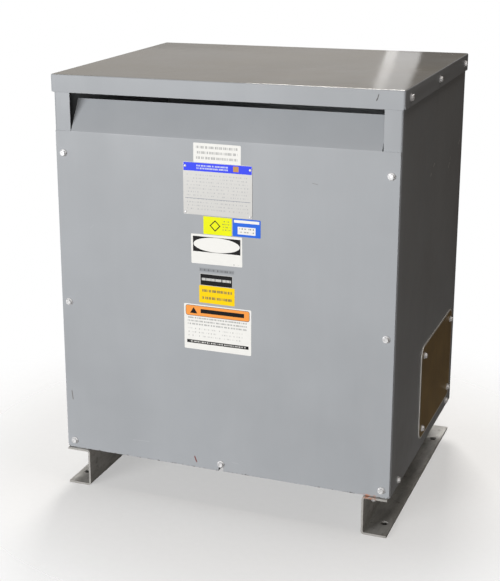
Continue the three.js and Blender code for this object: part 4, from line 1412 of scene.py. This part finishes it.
def make_lug(name, x, face, z, material):
    """A set-screw lug: a block bored for the cable, with its screw on the front."""
    half = 13 * MM
    depth = 26 * MM
    lug = build(name, lambda bm: add_box(
        bm, (x - half, face - depth, z - 18 * MM), (x + half, face, z + 22 * MM)))
    cut(lug, lambda bm: add_bar(bm, "z", 8.5 * MM, z - 30 * MM, z + 30 * MM, x, face - depth / 2, 32))
    screw = build("lug_screw", lambda bm: add_bar(
        bm, "y", 6 * MM, face - depth - 3 * MM, face - depth + 2 * MM, x, z + 8 * MM, 32))
    cut(screw, lambda bm: add_prism(
        bm, "y", circle(3.4 * MM, x, z + 8 * MM, 6), face - depth - 5 * MM, face - depth - 0.5 * MM))
    combine(lug, screw, "UNION")
    soften(lug, 0.8 * MM, 3)
    finish_piece(lug, "enclosure", material, "bus_metal")


def make_board(material, screw_material):
    low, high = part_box("terminal_board")
    board = build("terminal_board_sheet", lambda bm: add_box(bm, low, high))
    soften(board, 0.8 * MM, 3)
    finish_piece(board, "enclosure", material, "board_resin", "terminal_board")
    for i, x in enumerate((-230, -110, 110, 230)):
        place = Matrix.Translation((x * MM, low.y, low.z + 14 * MM)) @ facing((0, -1, 0))
        place = place @ Matrix.Rotation(math.radians(23 * i), 4, "Z")
        make_bolt_head(f"board_bolt_{i + 1}", place, screw_material,
                       9 * MM, 1.5 * MM, 6.5 * MM, 6.5 * MM, 0.6 * MM)


def make_tap_blocks(material, stud_material):
    """Tap blocks: a resin strip with five studs and a link across two of them."""
    for index, phase in enumerate(PHASES):
        node = f"high_voltage_tap_block_{phase}"
        low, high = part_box(node)
        outline = rounded(low.x, low.z, high.x, high.z, 6 * MM)
        strip = build(node + "_strip", lambda bm: add_prism(bm, "y", outline, low.y, high.y))
        soften(strip, 0.8 * MM, 3)
        finish_piece(strip, "enclosure", material, "board_resin", node)
        centre = (low + high) / 2
        pitch = 36 * MM
        levels = [centre.z + (k - 2) * pitch for k in range(5)]

        def studs(bm):
            for z in levels:
                profile = [(0.0, low.y + 1 * MM), (3 * MM, low.y + 1 * MM)]
                grooves = thread_profile(3 * MM, 0.4 * MM, 0.0, -16 * MM, 1.25 * MM)
                profile += [(radius, low.y + w) for radius, w in grooves]
                profile += [(0.0, low.y - 16.5 * MM)]
                add_turned(bm, profile, 20, "y", centre.x, z)
                for start in (0.5 * MM, 8.5 * MM):
                    add_prism(bm, "y", circle(6.2 * MM, centre.x, z, 6),
                              low.y - start - 4.5 * MM, low.y - start)

        stud = build(f"tap_studs_{phase}", studs)
        soften(stud, 0.3 * MM)
        finish_piece(stud, "enclosure", stud_material, "bus_metal")
        first = levels[1 + index % 2]
        link = build(f"tap_link_{phase}", lambda bm: add_prism(
            bm, "y", rounded(centre.x - 8 * MM, first - 9 * MM, centre.x + 8 * MM,
                             first + pitch + 9 * MM, 7.5 * MM, 8),
            low.y - 8.2 * MM, low.y - 5.4 * MM))
        cut(link, lambda bm: [add_bar(bm, "y", 3.5 * MM, low.y - 12 * MM, low.y, centre.x, z, 20)
                              for z in (first, first + pitch)])
        soften(link, 0.4 * MM)
        finish_piece(link, "enclosure", stud_material, "bus_metal")


def make_neutral(material, bolt_material):
    low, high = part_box("neutral_bus")
    outline = rounded(low.x, low.y, high.x, high.y, 3 * MM)
    bar = build("neutral_bus_bar", lambda bm: add_prism(bm, "z", outline, low.z, high.z))
    y = (low.y + high.y) / 2
    bores = [high.x - 18 * MM, high.x - 52 * MM]
    cut(bar, lambda bm: [add_bar(bm, "z", 5.5 * MM, low.z - 5 * MM, high.z + 5 * MM, x, y, 24)
                         for x in bores])
    soften(bar, 0.5 * MM)
    finish_piece(bar, "enclosure", material, "bus_metal", "neutral_bus")
    for i, x in enumerate((-200, 0, 200)):
        place = Matrix.Translation((x * MM, y, high.z))
        make_bolt_head(f"neutral_bolt_{i + 1}", place, bolt_material, *BAR_BOLT)


def make_ground_bar(material, screw_material):
    low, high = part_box("ground_bar")
    bar = build("ground_bar_block", lambda bm: add_box(bm, low, high))
    soften(bar, 0.6 * MM, 3)
    finish_piece(bar, "enclosure", material, "bus_metal", "ground_bar")
    centre = (low + high) / 2

    def screws(bm):
        for i in range(5):
            y = centre.y + (i - 2) * 30 * MM
            profile = [(0.0, low.x + 1 * MM), (4.2 * MM, low.x + 1 * MM), (4.2 * MM, low.x - 2.2 * MM)]
            profile += [(3.6 * MM, low.x - 2.8 * MM), (0.0, low.x - 2.8 * MM)]
            add_turned(bm, profile, 24, "x", y, centre.z)

    heads = build("ground_screws", screws)

    def slots(bm):
        for i in range(5):
            y = centre.y + (i - 2) * 30 * MM
            spin = math.radians(25 + 37 * i)
            u, v = Vector((math.cos(spin), math.sin(spin))), Vector((-math.sin(spin), math.cos(spin)))
            corners = [u * a * 5 * MM + v * b * 0.6 * MM for a, b in ((1, 1), (-1, 1), (-1, -1), (1, -1))]
            outline = [(y + c.x, centre.z + c.y) for c in corners]
            add_prism(bm, "x", outline, low.x - 4 * MM, low.x - 1.6 * MM)

    cut(heads, slots)
    finish_piece(heads, "enclosure", screw_material, "zinc")


# ------------------------------------------------------------------ camera, light and floor

CAMERA_AZIMUTH = math.radians(22.789)
CAMERA_ELEVATION = math.radians(16.519)
CAMERA_ROLL = math.radians(-0.684)
CAMERA_PLACE = Vector((0.9451, -2.7014, 1.3080))


def make_camera():
    data = bpy.data.cameras.new("camera")
    data.sensor_width = 36
    data.lens = 79.81
    data.shift_x = 0.0998
    data.shift_y = -0.0318
    data.clip_start, data.clip_end = 0.05, 60
    azimuth, elevation = CAMERA_AZIMUTH, CAMERA_ELEVATION
    back = Vector((math.sin(azimuth) * math.cos(elevation),
                   -math.cos(azimuth) * math.cos(elevation), math.sin(elevation)))
    right = Vector((math.cos(azimuth), math.sin(azimuth), 0))
    up = back.cross(right)
    cosine, sine = math.cos(CAMERA_ROLL), math.sin(CAMERA_ROLL)
    right, up = cosine * right + sine * up, -sine * right + cosine * up
    rotation = Matrix((right, up, back)).transposed()
    camera = bpy.data.objects.new("camera", data)
    camera.matrix_world = Matrix.Translation(CAMERA_PLACE) @ rotation.to_4x4()
    bpy.context.scene.collection.objects.link(camera)
    bpy.context.scene.camera = camera


def area_light(name, place, target, width, height, power, color=(1, 1, 1)):
    data = bpy.data.lights.new(name, "AREA")
    data.shape = "RECTANGLE"
    data.size, data.size_y = width, height
    data.energy = power
    data.color = color
    light = bpy.data.objects.new(name, data)
    light.location = place
    light.rotation_euler = (Vector(target) - Vector(place)).to_track_quat("-Z", "Y").to_euler()
    light.visible_camera = False
    bpy.context.scene.collection.objects.link(light)


def make_lights():
    """A broad key from the front left, a light near the camera, and panels that the lid mirrors."""
    area_light("key", (-3.0, -6.2, 1.4), (0, -0.3, 0.5), 3.2, 1.6, 355)
    area_light("front", (1.1, -4.6, 1.3), (0, -0.3, 0.4), 1.5, 0.9, 70, (1, 0.985, 0.96))
    area_light("behind", (-0.9, 3.6, 3.6), (0, 0, 0.7), 1.4, 1.4, 185, (1, 0.97, 0.93))
    area_light("lid_panel", (-1.9, 4.2, 1.9), (-1.9, 0, 1.9), 2.4, 2.2, 5.5, (1, 0.97, 0.93))
    area_light("lid_strip", (-0.62, 4.0, 1.6), (-0.62, 0, 1.6), 0.19, 1.2, 0.42)
    area_light("above", (0.9, -0.2, 4.0), (0.5, -0.1, 0), 1.0, 1.0, 26, (1, 0.93, 0.86))
    area_light("rear", (-0.6, 4.6, 0.6), (0, 0.3, 0.5), 1.4, 0.6, 22, (1, 0.98, 0.95))
    area_light("kicker", (3.2, -1.6, 1.2), (0.4, 0, 0.5), 0.5, 0.5, 1.6, (1, 0.9, 0.8))
    world = bpy.data.worlds.new("studio")
    bpy.context.scene.world = world
    world.use_nodes = True
    tree = world.node_tree
    background = tree.nodes["Background"]
    path = tree.nodes.new("ShaderNodeLightPath")
    tone = tree.nodes.new("ShaderNodeMix")
    tone.data_type = "RGBA"
    colors = [socket for socket in tone.inputs if socket.type == "RGBA"]
    colors[0].default_value = (0.047, 0.039, 0.031, 1)
    colors[1].default_value = (1, 1, 1, 1)
    tree.links.new(path.outputs["Is Camera Ray"], tone.inputs["Factor"])
    tree.links.new([socket for socket in tone.outputs if socket.type == "RGBA"][0],
                   background.inputs["Color"])


FLOOR_RADIUS = 3.0


def make_floor():
    """A pale floor that fades into the white backdrop away from the object, with painted shade under the
    feet.
    """
    outline = circle(FLOOR_RADIUS)
    floor = build("floor", lambda bm: bm.faces.new([bm.verts.new((x, y, 0)) for x, y in outline]))
    surface = Surface("floor_paper", roughness=0.9, specular=0.1)
    grain = surface.noise(60, 3, 0.5)
    color = surface.mix(grain, (0.90, 0.90, 0.90, 1), (0.94, 0.94, 0.94, 1))
    # Painted shade: a near-black patch on the floor under each foot's channel, where the feet hide the
    # floor. The floor is opaque there.
    inner, outer = FOOT_LOW.x + 20 * MM, FOOT_HIGH.x - 6 * MM
    across = surface.between(surface.size(surface.x), inner, outer, 0.001)
    along = surface.ramp(surface.size(surface.y), FOOT_HIGH.y, FOOT_HIGH.y - 0.002)
    painted_shade_under_feet = surface.both(across, along)
    surface.set("Base Color", surface.mix(painted_shade_under_feet, color, srgb(60, 58, 55)))
    squares = [surface.times(axis, axis) for axis in (surface.x, surface.y)]
    away = surface.math("SQRT", surface.plus(*squares))
    fade = surface.times(surface.ramp(away, 1.0, 0.42), 0.6)
    surface.set("Alpha", surface.either(fade, painted_shade_under_feet))
    floor.data.materials.append(surface.material)
    floor.visible_glossy = False


# ------------------------------------------------------------------ assembly

def make_enclosure():
    zinc = plated("zinc_plate", srgb(236, 236, 238), srgb(206, 207, 208), 0.34, metallic=0.3)
    shell = shell_paint()
    front = front_paint()
    sill = sill_paint()
    foot = foot_paint()
    make_lid(lid_paint())
    make_panel("front_panel_sheet", front, "front_cover", "front_panel")
    make_panel("rear_panel_sheet", shell, "rear_cover", "rear_panel")
    for side_name, side in SIDES:
        make_side_panel(side_name, side, shell)
        make_foot(side_name, side, foot)
    for end_name, _ in ENDS:
        make_sill(end_name, sill)
    make_access_cover(cover_paint())
    make_nameplate(nameplate_metal(), zinc)
    make_labels()
    make_screws(zinc)
    make_foot_bolts(zinc)
    return zinc


def make_inside(zinc):
    tinned = plated("tinned_bar", srgb(214, 215, 217), srgb(182, 184, 188), 0.26, 300)
    brass = plated("brass_studs", srgb(206, 170, 96), srgb(170, 132, 70), 0.28, 260)
    resin = board_resin()
    outer = varnish("outer_winding", srgb(120, 74, 34), srgb(176, 124, 66), 260)
    inner = varnish("inner_winding", srgb(96, 58, 28), srgb(150, 102, 54), 420)
    spacer = varnish("duct_spacer", srgb(168, 128, 76), srgb(206, 172, 118), 160)
    make_core(lamination_steel())
    for phase in PHASES:
        make_high_winding(phase, outer, spacer)
        make_low_winding(phase, inner)
    make_clamps(clamp_paint(), zinc)
    make_tie_rods(zinc)
    make_pads(rubber(), zinc)
    make_board(resin, zinc)
    make_bus_bars(tinned, zinc, tinned)
    make_neutral(tinned, zinc)
    make_tap_blocks(resin, brass)
    make_ground_bar(tinned, zinc)


SCREW = screw_mesh()
make_camera()
make_lights()
make_floor()
make_inside(make_enclosure())
bpy.context.scene.view_settings.view_transform = "Standard"
